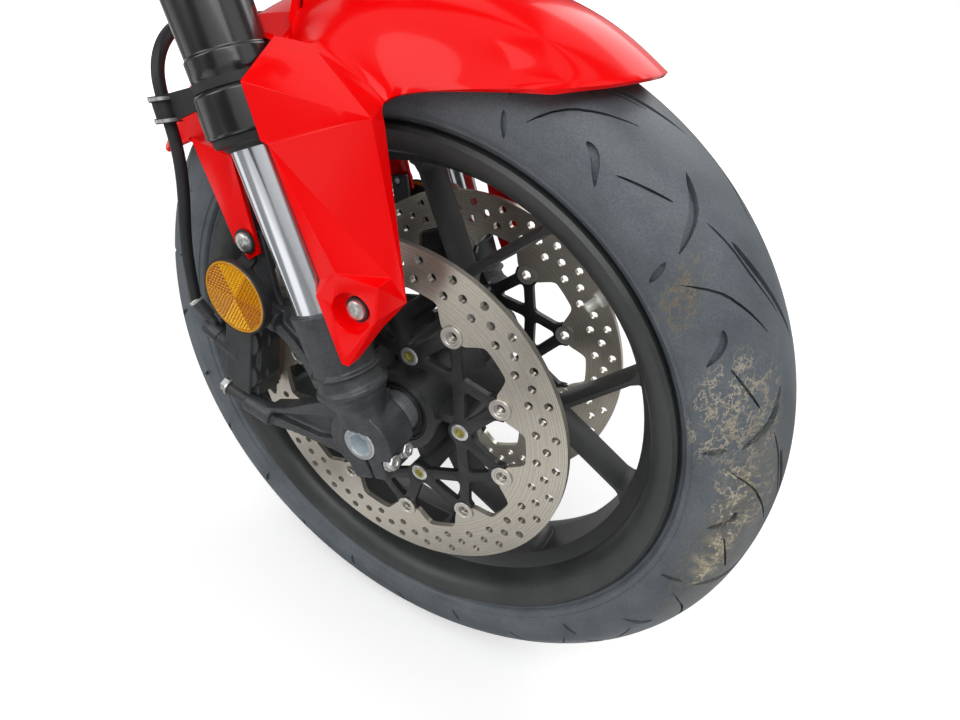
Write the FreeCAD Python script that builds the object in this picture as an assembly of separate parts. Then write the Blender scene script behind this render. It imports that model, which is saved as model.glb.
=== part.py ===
import FreeCAD, Part
import math
import os

# Front wheel, fork and mudguard of a sport bike, in millimetres.
# X points forward, Y to the rider's left, Z up. Everything is drawn round the wheel's centre and moved
# at the end, so that the origin is the lower bearing seat of the steering stem.
# The right side, which is at negative Y, is drawn and then mirrored to make the left side.

V = FreeCAD.Vector
os.makedirs("parts", exist_ok=True)

# Steering geometry
rake_deg = 25.5
leg_lead = 3.4            # leg axis ahead of the axle
drawn_leg_spread = 104.0  # leg axis from the centre plane that the cast arms and the mudguard are drawn for
stem_set_back = 38.0      # steering axis behind the axle, square to the legs

# Wheel, 17 inches by 3.5
rim_lip_r = 229.1
rim_half_width = 56.7
bead_seat_r = 218.0
bead_half_gap = 44.45     # between the flanges, half
well_r = 201.0
rim_wall = 4.5
fit_gap = 0.3             # between parts that touch on curved faces
tyre_r = 296.0
tyre_half_width = 60.0
tyre_wall = 9.0
drawn_wall_height = 66.9  # from the rim's lip to the crown, for which the tyre's profile is drawn

spoke_count = 5
spoke_phase = 81.9        # degrees from forward towards up
spoke_half_depth = 16.0
arm_width = 8.6
arm_edge_width = 3.6      # the arms and stems thin towards both sides of the wheel
arm_flat = 6.0            # half the depth over which they keep their full width
arm_spread = 17.5         # degrees from the spoke's middle to an arm's foot on the rim
arm_flare = 5.0           # rounding of an arm's foot
fork_r = 120.0            # where a spoke divides
stem_half_width = 10.5

hub_r = 34.0
hub_half_length = 66.0
seal_r = 30.0
seal_depth = 7.0
bearing_r = 26.0
bearing_width = 15.0
axle_r = 12.5
axle_bore_r = 9.0
axle_head_r = 14.8
axle_overhang = 13.4      # beyond the leg's axis
running_fit = 0.05
spacer_r = 20.0

# Brake discs
disc_face = hub_half_length + 2.2     # outer face from the centre plane
disc_thickness = 5.0
disc_band = 34.0
drawn_disc_r = 155.0      # disc that the cast arms and the unions are drawn for
bobbin_count = 10
bobbin_circle_r = 105.5
bobbin_phase = 65.4
bobbin_shaft_r = 5.5
bobbin_bore_r = 3.6
bobbin_flange_r = 9.2
bobbin_flange = 1.4
ear_r = 11.5
disc_inner_r = bobbin_circle_r + ear_r + 4.0
disc_r = disc_inner_r + disc_band
split_gap = 0.4           # between the disc's ears and the carrier
carrier_bolt_circle_r = 62.6
carrier_bolt_r = 4.0
carrier_head_r = 7.2
carrier_head = 4.0
carrier_boss_r = 10.5
carrier_sink = 4.0        # how deep the bolt heads sit
carrier_arm = 9.0
strut_knee_drop = 25.5    # struts between neighbouring pairs of bobbins bend this far inside them
strut_knee_r = bobbin_circle_r - strut_knee_drop
disc_boss_r = 10.0

# Fork legs; heights are along the leg, from the axle's height
leg_spread = disc_face + 35.8         # leg axis from the centre plane
axle_half_length = leg_spread + axle_overhang
inner_tube_r = 20.5
inner_tube_bore_r = 17.5
casting_top = 112.0
seal_bottom = tyre_r - 70.0           # clear of the tyre and the mudguard
outer_bottom = seal_bottom + 9.0
outer_bottom_r = 31.5
groove_low = outer_bottom + 26.5
groove_high = groove_low + 7.0
groove_r = 26.5
shoulder_high = groove_high + 13.5
outer_r = 26.0
outer_top_r = 25.0        # above the lower yoke
outer_top = 735.0
cap_height = 14.0
casting_r = 24.6
collar_r = 27.0
clamp_r = 29.0
clamp_half = 17.0         # half the width of the axle clamp, along the axle
clamp_drop = 20.8         # pinch bolts below the axle
pinch_pitch = 18.0
pinch_r = 4.0
pinch_head_r = 7.5
slit_width = 3.0

# Lower yoke and stem
yoke_low = 500.0
yoke_high = 535.0
yoke_wall = 8.0
stem_r = 14.0
seat_r = 17.5
seat_length = 22.0
stem_length = 190.0

# Brake calipers; r is out from the wheel's centre, t is up along the disc, from the caliper's middle
caliper_angle = 172.0
caliper_bolt_half = 54.0
caliper_bolt_y = leg_spread - 4.0
lug_r = 10.0
lug_start_r = disc_inner_r - 21.0
lug_end_r = disc_inner_r + 9.0
bolt_seat_r = disc_r - 3.0
caliper_in_r = disc_inner_r - 2.0
caliper_out_r = disc_r + 17.0
cylinder_circle_r = (disc_inner_r + disc_r) / 2.0 - 2.0
cylinder_r = 18.0
cylinder_half = 19.0      # half the distance between the two cylinders
caliper_face = leg_spread + 4.0       # outboard face from the centre plane
caliper_inner_face = disc_face - 39.2
pad_gap = 0.3
pad_back = 5.0
pad_lining = 4.0
caliper_bolt_r = 5.0
caliper_sleeve_r = 7.0
union_r = 7.8             # banjo and the boss under it
union_bolt_r = 4.5
union_depth = 16.0

# Mudguard
skin = 3.0
crest_r = tyre_r + 22.0
drawn_crest_r = 318.0     # crest that the side legs are drawn for
front_bolt = V(-6.5, 0, 120.3)
rear_bolt = V(-118.6, 0, 128.5)
rear_strip_y = leg_spread - 4.0
cup_r = 14.0              # the front bolts sit in round cups
cup_mouth_r = 15.8
cup_y = leg_spread + 9.5

# Reflector
reflector_r = 29.0
reflector_thickness = 5.0
reflector_y = leg_spread + 23.0

# Brake hose
hose_r = 4.4
ferrule_r = 5.4
grommet_r = 7.6
collar_ring_r = 9.0

SINR = math.sin(math.radians(rake_deg))
COSR = math.cos(math.radians(rake_deg))
disc_back = disc_face - disc_thickness
stem_back = -stem_set_back - leg_lead


def leg(s, f, y):
    """A point s up the leg and f in front of its axis, y from the centre plane."""
    f = f + leg_lead
    return V(-SINR * s + COSR * f, y, COSR * s + SINR * f)


UP = V(-SINR, 0, COSR)
FORE = V(COSR, 0, SINR)
# Lower bearing seat of the stem, on top of the lower yoke, seen from the wheel's centre
ORIGIN = UP * yoke_high - FORE * stem_set_back


def near_axle(s, f, y=0.0):
    """A point s up and f in front of the axle, in the legs' directions."""
    p = UP * s + FORE * f
    return V(p.x, y, p.z)


def polar(r, deg, y=0.0):
    a = math.radians(deg)
    return V(r * math.cos(a), y, r * math.sin(a))


def rod(r, start, end):
    """Round bar of radius r from one point to another."""
    way = end - start
    return Part.makeCylinder(r, way.Length, start, way)


def cross_rod(r, x, z, y0, y1):
    """Round bar across the bike."""
    return rod(r, V(x, y0, z), V(x, y1, z))


def plate(points, y0, y1):
    """Flat plate with an outline of (x, z) points, between two planes across the bike."""
    corners = [V(x, y0, z) for x, z in points]
    wire = Part.makePolygon(corners + corners[:1])
    return Part.Face(wire).extrude(V(0, y1 - y0, 0))


def turned(profile, axis=V(0, 1, 0), side=V(1, 0, 0), centre=V(0, 0, 0)):
    """Solid of revolution; profile is a closed list of (along the axis, radius)."""
    corners = [centre + axis * a + side * r for a, r in profile]
    wire = Part.makePolygon(corners + corners[:1])
    return Part.Face(wire).revolve(centre, axis, 360)


def leg_turned(profile, y):
    """Solid of revolution about a fork leg; profile is (height up the leg, radius)."""
    return turned(profile, UP, FORE, leg(0, 0, y))


def joined(shapes):
    first = shapes[0]
    rest = shapes[1:]
    return first.fuse(rest).removeSplitter() if rest else first


def group(shapes):
    return Part.makeCompound(shapes)


def left_of(shape):
    return shape.mirror(V(0, 0, 0), V(0, 1, 0))


def save(name, shape):
    moved = shape.copy()
    moved.translate(ORIGIN * -1)
    moved.exportStep("parts/" + name + ".step")


def save_pair(name, shape):
    save(name + "_right", shape)
    save(name + "_left", left_of(shape))


def save_both(name, shape):
    """Like pieces of the right and the left side in one file."""
    save(name, group([shape, left_of(shape)]))


def ring_places(count, phase, r, y):
    return [polar(r, phase + 360.0 * i / count, y) for i in range(count)]


# Tyre: rubber, hollow, its beads inside the rim's flanges
def make_tyre():
    tall = (tyre_r - rim_lip_r) / drawn_wall_height
    shoulder_r = tyre_r - 8.5 * tall
    shoulder_y = 40.0
    mid = Part.Arc(V(shoulder_r, -shoulder_y, 0), V(tyre_r, 0, 0), V(shoulder_r, shoulder_y, 0))
    bead_y = bead_half_gap - fit_gap
    side = [(shoulder_y, shoulder_r), (47.0, tyre_r - 13.2 * tall), (53.5, tyre_r - 21.0 * tall),
            (58.3, tyre_r - 29.2 * tall), (tyre_half_width, tyre_r - 41.0 * tall),
            (tyre_half_width - 1.0, tyre_r - 53.0 * tall), (tyre_half_width - 6.0, tyre_r - 61.0 * tall),
            (bead_y + 4.0, rim_lip_r + 1.5), (bead_y, rim_lip_r - 3.0), (bead_y, bead_seat_r + fit_gap)]
    inside = [(bead_y - 11.0, bead_seat_r + fit_gap), (bead_y - 9.0, rim_lip_r + 3.0),
              (tyre_half_width - tyre_wall, tyre_r - 50.0 * tall), (tyre_half_width - tyre_wall, tyre_r - 38.0 * tall),
              (shoulder_y - 3.0, shoulder_r - tyre_wall), (18.0, tyre_r - tyre_wall - 2.5)]
    left = [V(r, y, 0) for y, r in side + inside]
    right = [V(r, -y, 0) for y, r in reversed(side + inside)]
    lines = Part.makePolygon(left + right).Edges
    wire = Part.Wire(Part.__sortEdges__([mid.toShape()] + lines))
    return Part.Face(wire).revolve(V(0, 0, 0), V(0, 1, 0), 360)


# Cast wheel: rim, five Y spokes, hub barrel and the bosses that carry the discs
def rim_profile():
    half = [(rim_half_width, rim_lip_r - 3.0), (rim_half_width - 2.5, rim_lip_r),
            (bead_half_gap + 2.5, rim_lip_r), (bead_half_gap, rim_lip_r - 3.0),
            (bead_half_gap, bead_seat_r), (31.0, bead_seat_r - 1.0), (19.0, well_r)]
    inner = [(17.0, well_r - rim_wall), (27.0, bead_seat_r - 11.5), (42.0, bead_seat_r - 10.0),
             (50.0, bead_seat_r - 6.0), (rim_half_width - 1.0, rim_lip_r - 9.0)]
    outside = half + [(-y, r) for y, r in reversed(half)]
    inside = [(-y, r) for y, r in reversed(inner)] + inner
    return outside + inside


def arm_side(start, along, normal, offset):
    """One long side of an arm, from the fork to a rounded foot that runs into the rim."""
    base = (start[0] + normal[0] * offset, start[1] + normal[1] * offset)
    rim_in = well_r - rim_wall
    across = base[0] * along[0] + base[1] * along[1]
    reach = -across + math.sqrt(across ** 2 - base[0] ** 2 - base[1] ** 2 + rim_in ** 2)
    flare = math.copysign(arm_flare, offset)
    places = [(reach - 1.8 * arm_flare, 0.0), (reach - 0.6 * arm_flare, 0.35 * flare), (reach, flare), (reach + 9.0, flare)]
    return [(base[0] + along[0] * a + normal[0] * b, base[1] + along[1] * a + normal[1] * b) for a, b in places]


def spoke_outline(width):
    """One Y spoke lying along +X, as (along, aside) points; width is that of its arms."""
    foot = math.radians(arm_spread)
    thinner = (arm_width - width) / 2.0
    start = (fork_r - 4.0, 3.0)
    tip = (well_r * math.cos(foot), well_r * math.sin(foot))
    length = math.hypot(tip[0] - start[0], tip[1] - start[1])
    along = ((tip[0] - start[0]) / length, (tip[1] - start[1]) / length)
    normal = (-along[1], along[0])
    outer = arm_side(start, along, normal, width / 2.0)
    inner = arm_side(start, along, normal, -width / 2.0)
    crotch = (inner[0][0] - along[0] * inner[0][1] / along[1], 0.0)
    root = (start[0] + normal[0] * width / 2.0, start[1] + normal[1] * width / 2.0)
    upper = [(hub_r - 6.0, stem_half_width + 6.0 - thinner), (70.0, stem_half_width + 2.0 - thinner), root]
    upper += outer + inner[::-1]
    return upper + [crotch] + [(a, -b) for a, b in reversed(upper)]


def make_spoke():
    """Full width in the middle of its depth, thinner towards both sides of the wheel."""
    def outline_at(y, width):
        corners = [V(a, y, b) for a, b in spoke_outline(width)]
        return Part.makePolygon(corners + corners[:1])
    pieces = [plate(spoke_outline(arm_width), -arm_flat, arm_flat)]
    for side in (-1.0, 1.0):
        wires = [outline_at(side * arm_flat, arm_width), outline_at(side * spoke_half_depth, arm_edge_width)]
        pieces.append(Part.makeLoft(wires, True, True))
    return joined(pieces).common(cross_rod(well_r - 1.0, 0, 0, -spoke_half_depth - 1.0, spoke_half_depth + 1.0))


def make_wheel():
    rim = turned(rim_profile())
    barrel = turned([(-hub_half_length, bearing_r), (-hub_half_length, hub_r + 4.0), (-44.0, hub_r), (-30.0, hub_r),
                     (-14.0, hub_r + 12.0), (14.0, hub_r + 12.0), (30.0, hub_r), (44.0, hub_r),
                     (hub_half_length, hub_r + 4.0), (hub_half_length, bearing_r)])
    spoke = make_spoke()
    pieces = [rim, barrel]
    boss_top = disc_back - 1.8
    for i in range(spoke_count):
        turn = spoke_phase + 360.0 * i / spoke_count
        one = spoke.copy()
        one.rotate(V(0, 0, 0), V(0, 1, 0), -turn)
        pieces.append(one)
        boss = polar(carrier_bolt_circle_r, turn)
        pieces.append(cross_rod(disc_boss_r, boss.x, boss.z, -boss_top, boss_top))
        web = plate([(hub_r - 6.0, -4.0), (carrier_bolt_circle_r, -4.0),
                     (carrier_bolt_circle_r, 4.0), (hub_r - 6.0, 4.0)], -boss_top + 6.0, boss_top - 6.0)
        web.rotate(V(0, 0, 0), V(0, 1, 0), -turn)
        pieces.append(web)
    wheel = joined(pieces)
    seal_seat = cross_rod(seal_r, 0, 0, hub_half_length - seal_depth, hub_half_length + 5)
    bearing_seat = cross_rod(bearing_r, 0, 0, -hub_half_length - 5, hub_half_length + 5)
    wheel = wheel.cut(joined([bearing_seat, seal_seat, left_of(seal_seat)]))
    cuts = []
    for place in ring_places(spoke_count, spoke_phase, carrier_bolt_circle_r, 0):
        cuts.append(cross_rod(carrier_bolt_r, place.x, place.z, boss_top - 20.0, boss_top + 1.0))
        cuts.append(cross_rod(carrier_bolt_r, place.x, place.z, -boss_top + 20.0, -boss_top - 1.0))
    return wheel.cut(group(cuts)), boss_top


def ring_across(outer, inner, y0, y1):
    return cross_rod(outer, 0, 0, y0, y1).cut(cross_rod(inner, 0, 0, y0 - 1, y1 + 1))


def make_bearings():
    end = hub_half_length - seal_depth
    return ring_across(bearing_r, axle_r + running_fit, -end, -end + bearing_width)


def make_seals():
    return ring_across(seal_r, spacer_r + fit_gap, -hub_half_length + 0.5, -hub_half_length + seal_depth)


# Floating disc: flat ring with ten ears, each with half of a bobbin's hole
def make_disc():
    ring = cross_rod(disc_r, 0, 0, -disc_face, -disc_back).cut(
        cross_rod(disc_inner_r, 0, 0, -disc_face - 1, -disc_back + 1))
    pieces = [ring]
    for i in range(bobbin_count):
        turn = bobbin_phase + 360.0 * i / bobbin_count
        ear = plate([(bobbin_circle_r, -ear_r), (bobbin_circle_r + 8.0, -ear_r), (disc_inner_r + 3.0, -ear_r - 5.0),
                     (disc_inner_r + 3.0, ear_r + 5.0), (bobbin_circle_r + 8.0, ear_r), (bobbin_circle_r, ear_r)],
                    -disc_face, -disc_back)
        ear.rotate(V(0, 0, 0), V(0, 1, 0), -turn)
        pieces.append(ear)
    disc = joined(pieces)
    inner = cross_rod(bobbin_circle_r + split_gap, 0, 0, -disc_face - 1, -disc_back + 1)
    return disc.cut(inner).cut(group(bobbin_holes(fit_gap)))


def bobbin_holes(clearance):
    return [cross_rod(bobbin_shaft_r + clearance, p.x, p.z, -disc_face - 1, -disc_back + 1)
            for p in ring_places(bobbin_count, bobbin_phase, bobbin_circle_r, 0)]


# Disc carrier: a spider with two arms from each bolt boss to its pair of bobbins
def bar_between(a, b, width):
    """Flat bar between two places on the disc's plane."""
    way = V(b.x - a.x, 0, b.z - a.z)
    across = V(-way.z, 0, way.x) * (width / 2.0 / way.Length)
    corners = [a + across, b + across, b - across, a - across]
    return plate([(p.x, p.z) for p in corners], -disc_face, -disc_back)


def make_carrier(boss_top):
    band_r = carrier_bolt_circle_r
    ring = turned([(-disc_face, band_r - 7.0), (-disc_face, band_r + 5.0),
                   (-disc_back, band_r + 5.0), (-disc_back, band_r - 7.0)])
    pieces = [ring]
    lugs = ring_places(bobbin_count, bobbin_phase, bobbin_circle_r, 0)
    bosses = ring_places(spoke_count, spoke_phase, carrier_bolt_circle_r, 0)
    for i, lug in enumerate(lugs):
        pieces.append(cross_rod(ear_r, lug.x, lug.z, -disc_face, -disc_back))
        pieces.append(bar_between(bosses[i // 2], lug, carrier_arm))
        if i % 2:
            knee = polar(strut_knee_r, bobbin_phase + 360.0 * (i + 0.5) / bobbin_count)
            pieces.append(bar_between(lug, knee, carrier_arm - 2.0))
            pieces.append(bar_between(knee, lugs[(i + 1) % bobbin_count], carrier_arm - 2.0))
            pieces.append(cross_rod(carrier_arm / 2.0, knee.x, knee.z, -disc_face, -disc_back))
    for boss in bosses:
        pieces.append(cross_rod(carrier_boss_r, boss.x, boss.z, -disc_face, -boss_top))
    carrier = joined(pieces)
    keep = cross_rod(bobbin_circle_r - split_gap, 0, 0, -disc_face - 1, -boss_top + 1)
    carrier = carrier.common(keep).cut(group(bobbin_holes(fit_gap)))
    cuts = []
    for boss in bosses:
        cuts.append(cross_rod(carrier_bolt_r + fit_gap, boss.x, boss.z, -disc_face - 1, -boss_top + 1))
        cuts.append(cross_rod(carrier_head_r + 1.0, boss.x, boss.z, -disc_face - 1, -disc_face + carrier_sink))
    return carrier.cut(group(cuts))


def make_bobbins():
    out = disc_face + fit_gap
    back = disc_back - fit_gap
    profile = [(-back + bobbin_flange, bobbin_bore_r), (-back + bobbin_flange, bobbin_flange_r),
               (-back, bobbin_flange_r), (-back, bobbin_shaft_r), (-out, bobbin_shaft_r),
               (-out, bobbin_flange_r), (-out - bobbin_flange, bobbin_flange_r),
               (-out - bobbin_flange, bobbin_bore_r)]
    return [turned(profile, centre=p)
            for p in ring_places(bobbin_count, bobbin_phase, bobbin_circle_r, 0)]


def make_carrier_bolts(boss_top):
    """Low button heads, each with its shank in the wheel's boss."""
    under = -disc_face + carrier_sink
    profile = [(under - carrier_head, 2.6), (under - carrier_head, carrier_head_r - 2.0),
               (under - 1.2, carrier_head_r), (under, carrier_head_r), (under, carrier_bolt_r - 0.02),
               (-boss_top + 18.0, carrier_bolt_r - 0.02), (-boss_top + 18.0, 0.0), (under - 1.5, 0.0), (under - 1.5, 2.6)]
    places = ring_places(spoke_count, spoke_phase, carrier_bolt_circle_r, 0)
    return [turned(profile, centre=p) for p in places]


def make_valve():
    """Angled valve on the rim's well."""
    angle = 47.5
    foot = polar(well_r, angle, -20.0)
    tip = polar(well_r - 15.0, angle, -33.0)
    way = tip - foot
    return joined([rod(6.5, foot, foot + way * 0.5), rod(4.0, foot, tip)])


# Axle with its spacers
def make_axle():
    head = axle_half_length - clamp_half * 2 - 0.6
    profile = [(-axle_half_length, axle_bore_r + 1.5), (-axle_half_length, axle_head_r - 1.0),
               (-axle_half_length + 1.0, axle_head_r), (-head, axle_head_r), (-head, axle_r),
               (head, axle_r), (head, axle_head_r), (axle_half_length - 1.0, axle_head_r),
               (axle_half_length, axle_head_r - 1.0), (axle_half_length, axle_bore_r + 1.5),
               (axle_half_length - 14.0, axle_bore_r + 1.5), (axle_half_length - 14.0, axle_bore_r),
               (-axle_half_length + 14.0, axle_bore_r), (-axle_half_length + 14.0, axle_bore_r + 1.5)]
    return turned(profile)


def make_spacer():
    inner_end = hub_half_length - seal_depth
    outer_end = axle_half_length - clamp_half * 2 - 0.6
    return ring_across(spacer_r, axle_r + 0.02, -outer_end, -inner_end - fit_gap)


# Cast fork bottom: tube socket, axle clamp with its slit, caliper lugs and mudguard boss
def caliper_point(r, t, y):
    a = math.radians(caliper_angle)
    return V(r * math.cos(a) + t * math.sin(a), y, r * math.sin(a) - t * math.cos(a))


# Webs of the caliper's arms, each with a flange along its edges: (x, z) points
low_web = [(-110.0, -32.0), (-93.0, -24.0), (-20.0, 4.0), (-10.0, -30.0), (-52.0, -37.0), (-110.0, -46.0)]
low_top_flange = [(-111.0, -35.0), (-112.0, -30.0), (-90.0, -19.0), (-53.0, 7.0), (-26.0, 20.0), (-20.0, 2.0), (-35.0, -1.0),
                  (-93.0, -27.0)]
low_bottom_flange = [(-112.0, -48.0), (-112.0, -40.0), (-97.0, -35.0), (-74.0, -33.0), (-52.0, -31.0), (-30.0, -21.0),
                     (-12.0, -16.0), (-16.0, -38.0), (-36.0, -37.5), (-54.0, -39.0), (-74.0, -41.0)]
high_web = [(-104.0, 66.0), (-92.0, 60.0), (-72.0, 48.0), (-56.0, 30.0), (-34.0, 40.0), (-48.0, 98.0), (-60.0, 98.0), (-102.0, 76.0)]
high_flange = [(-97.0, 60.0), (-81.0, 50.0), (-68.0, 40.0), (-55.0, 20.0), (-40.0, 24.0), (-60.0, 46.0), (-76.0, 58.0),
               (-94.0, 69.0)]
arm_out_y = leg_spread
arm_in_y = leg_spread - 18.0
web_out_y = leg_spread - 7.0
web_in_y = leg_spread - 15.0


def arm_outline(points):
    """Outline of a cast arm; its points near the caliper follow the disc's size."""
    shift = caliper_point(disc_r - drawn_disc_r, 0, 0)
    moved = []
    for x, z in points:
        share = min(1.0, max(0.0, (-x - 30.0) / 60.0))
        moved.append((x + shift.x * share, z + shift.z * share))
    return moved


def make_fork_bottom():
    y = -leg_spread
    clamp_in = -axle_half_length + clamp_half * 2
    body = leg_turned([(6.0, 0.0), (6.0, 17.0), (24.0, 18.5), (32.0, 20.5), (40.0, collar_r - 2.0), (46.0, collar_r),
                       (49.5, collar_r - 0.4), (61.0, casting_r - 1.0), (62.5, casting_r), (casting_top - 6.0, casting_r),
                       (casting_top - 5.5, casting_r + 0.6), (casting_top, casting_r + 0.2), (casting_top, 0.0)], y)
    face = -axle_half_length + 1.5
    eye = cross_rod(clamp_r, 0, 0, face, clamp_in)
    rim = cross_rod(axle_head_r + 4.0, 0, 0, face - 0.8, face)
    foot = [near_axle(0, -clamp_r + 5.0), near_axle(0, clamp_r - 13.0), near_axle(-clamp_r - 5.0, 14.0),
            near_axle(-clamp_r - 5.0, -19.0)]
    clamp = plate([(p.x, p.z) for p in foot], face, clamp_in)
    root = [leg(0, -15.0, 0), leg(0, 10.0, 0), leg(34.0, 17.0, 0), leg(34.0, -17.0, 0)]
    neck = plate([(p.x, p.z) for p in root], face + 1.5, clamp_in)
    lugs = [rod(lug_r, caliper_point(lug_start_r, t, -caliper_bolt_y), caliper_point(lug_end_r, t, -caliper_bolt_y))
            for t in (-caliper_bolt_half, caliper_bolt_half)]
    webs = [plate(arm_outline(points), -web_out_y, -web_in_y) for points in (low_web, high_web)]
    flanges = [plate(arm_outline(points), -arm_out_y, -arm_in_y)
               for points in (low_top_flange, low_bottom_flange, high_flange)]
    ear = plate([(rear_bolt.x - 9.0, rear_bolt.z + 4.0), (rear_bolt.x + 9.0, rear_bolt.z + 8.0), (-96.0, 78.0), (-113.0, 74.0)],
                -rear_strip_y + skin + fit_gap, -rear_strip_y + skin + 6.0)
    ear_foot = plate([(-96.0, 84.0), (-113.0, 76.0), (-108.0, 58.0), (-84.0, 62.0)], -rear_strip_y + skin + fit_gap, -arm_in_y)
    boss = cross_rod(9.0, front_bolt.x, front_bolt.z, -cup_y + skin + fit_gap, -leg_spread + 8.0)
    arm_low, arm_high = leg(80.0, 0.0, 0), leg(casting_top - 8.0, 0.0, 0)
    shelf = plate([(front_bolt.x, front_bolt.z + 8.0), (front_bolt.x, front_bolt.z - 8.0),
                   (arm_low.x, arm_low.z), (arm_high.x, arm_high.z)], -leg_spread - 4.0, -leg_spread + 6.0)
    casting = joined([body, eye, rim, clamp, neck, ear, ear_foot, boss, shelf] + lugs + webs + flanges)
    socket = rod(inner_tube_r + 0.02, leg(60.0, 0, y), leg(casting_top + 5.0, 0, y))
    axle_hole = cross_rod(axle_head_r + 0.02, 0, 0, -axle_half_length - 5, clamp_in + 5)
    slit_foot = V(-UP.x, 0, -UP.z) * (clamp_r + 10.0)
    across = FORE * (slit_width / 2.0)
    slit = plate([(across.x, across.z), (slit_foot.x + across.x, slit_foot.z + across.z),
                  (slit_foot.x - across.x, slit_foot.z - across.z), (-across.x, -across.z)],
                 -axle_half_length - 5, clamp_in + 5)
    spacer_room = cross_rod(spacer_r + 1.0, 0, 0, clamp_in, clamp_in + 20.0)
    cuts = [socket, axle_hole, slit, spacer_room]
    for bolt_y in pinch_rows():
        cuts.append(rod(pinch_r, pinch_place(-28.0, bolt_y), pinch_place(40.0, bolt_y)))
        cuts.append(rod(pinch_head_r + 1.0, pinch_place(pinch_seat, bolt_y), pinch_place(45.0, bolt_y)))
    for t in (-caliper_bolt_half, caliper_bolt_half):
        cuts.append(rod(caliper_bolt_r, caliper_point(lug_start_r + 4.0, t, -caliper_bolt_y),
                        caliper_point(lug_end_r + 3.0, t, -caliper_bolt_y)))
    cuts.append(cross_rod(3.0, front_bolt.x, front_bolt.z, -cup_y, -cup_y + 13.0))
    cuts.append(cross_rod(3.0, rear_bolt.x, rear_bolt.z, -rear_strip_y - 5.0, -rear_strip_y + 20.0))
    return casting.cut(group(cuts))


pinch_seat = 15.0


def pinch_rows():
    middle = -axle_half_length + 1.5 + clamp_half - 0.75
    return [middle - pinch_pitch / 2.0, middle + pinch_pitch / 2.0]


def pinch_place(f, y):
    """A place on a pinch bolt's line, f in front of the axle."""
    p = UP * -clamp_drop + FORE * f
    return V(p.x, y, p.z)


def make_pinch_bolts():
    bolts = []
    for y in pinch_rows():
        shank = rod(pinch_r - 0.02, pinch_place(-18.0, y), pinch_place(pinch_seat + 0.5, y))
        flange = rod(pinch_head_r, pinch_place(pinch_seat, y), pinch_place(pinch_seat + 1.6, y))
        head = hexagon(pinch_place(pinch_seat + 1.5, y), FORE, 6.2, 6.0)
        bolts.append(joined([shank, flange, head]))
    return bolts


def hexagon(centre, axis, r, height):
    """Hexagonal prism of corner radius r from a centre along an axis."""
    side = axis.cross(V(0, 1, 0))
    if side.Length < 0.1:
        side = V(1, 0, 0)
    side.normalize()
    other = axis.cross(side)
    other.normalize()
    corners = [centre + side * (r * math.cos(k * math.pi / 3)) + other * (r * math.sin(k * math.pi / 3))
               for k in range(6)]
    return Part.Face(Part.makePolygon(corners + corners[:1])).extrude(axis * height)


def make_inner_tube():
    return leg_turned([(60.0, inner_tube_bore_r), (60.0, inner_tube_r),
                       (outer_bottom + 180.0, inner_tube_r), (outer_bottom + 180.0, inner_tube_bore_r)], -leg_spread)


def make_dust_seal():
    bore = inner_tube_r + fit_gap
    return leg_turned([(seal_bottom, bore), (seal_bottom, bore + 1.5), (seal_bottom + 2.5, bore + 3.0),
                       (seal_bottom + 4.0, outer_bottom_r - 3.0), (outer_bottom, outer_bottom_r - 2.5), (outer_bottom, bore)],
                      -leg_spread)


def make_outer_tube():
    bore = inner_tube_r + fit_gap
    step = yoke_high + 6.0
    return leg_turned([(outer_bottom, bore), (outer_bottom, outer_bottom_r - 1.2), (outer_bottom + 1.5, outer_bottom_r),
                       (groove_low - 2.0, outer_bottom_r - 1.3), (groove_low, outer_bottom_r - 2.8), (groove_low, groove_r),
                       (groove_high, groove_r), (groove_high + 1.5, groove_r + 0.9), (shoulder_high - 1.5, groove_r + 0.7),
                       (shoulder_high, outer_r), (step, outer_r), (step, outer_top_r), (outer_top, outer_top_r),
                       (outer_top, bore)], -leg_spread)


def make_fork_cap():
    bore = inner_tube_r + fit_gap
    cap = leg_turned([(outer_top - 14.0, 0.0), (outer_top - 14.0, bore - 0.02), (outer_top, bore - 0.02),
                      (outer_top, outer_top_r - 2.0), (outer_top + 3.0, outer_top_r - 2.0), (outer_top + 3.0, 0.0)],
                     -leg_spread)
    return cap.fuse(hexagon(leg(outer_top + 2.0, 0, -leg_spread), UP, 16.0, cap_height - 2.0))


# Lower yoke: two split clamps, a waisted bridge and the eye of the stem
def flat_on_yoke(points, s0, s1):
    """Plate square to the legs with an outline of (forward, across) points."""
    corners = [leg(s0, f, y) for f, y in points]
    return Part.Face(Part.makePolygon(corners + corners[:1])).extrude(UP * (s1 - s0))


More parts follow.
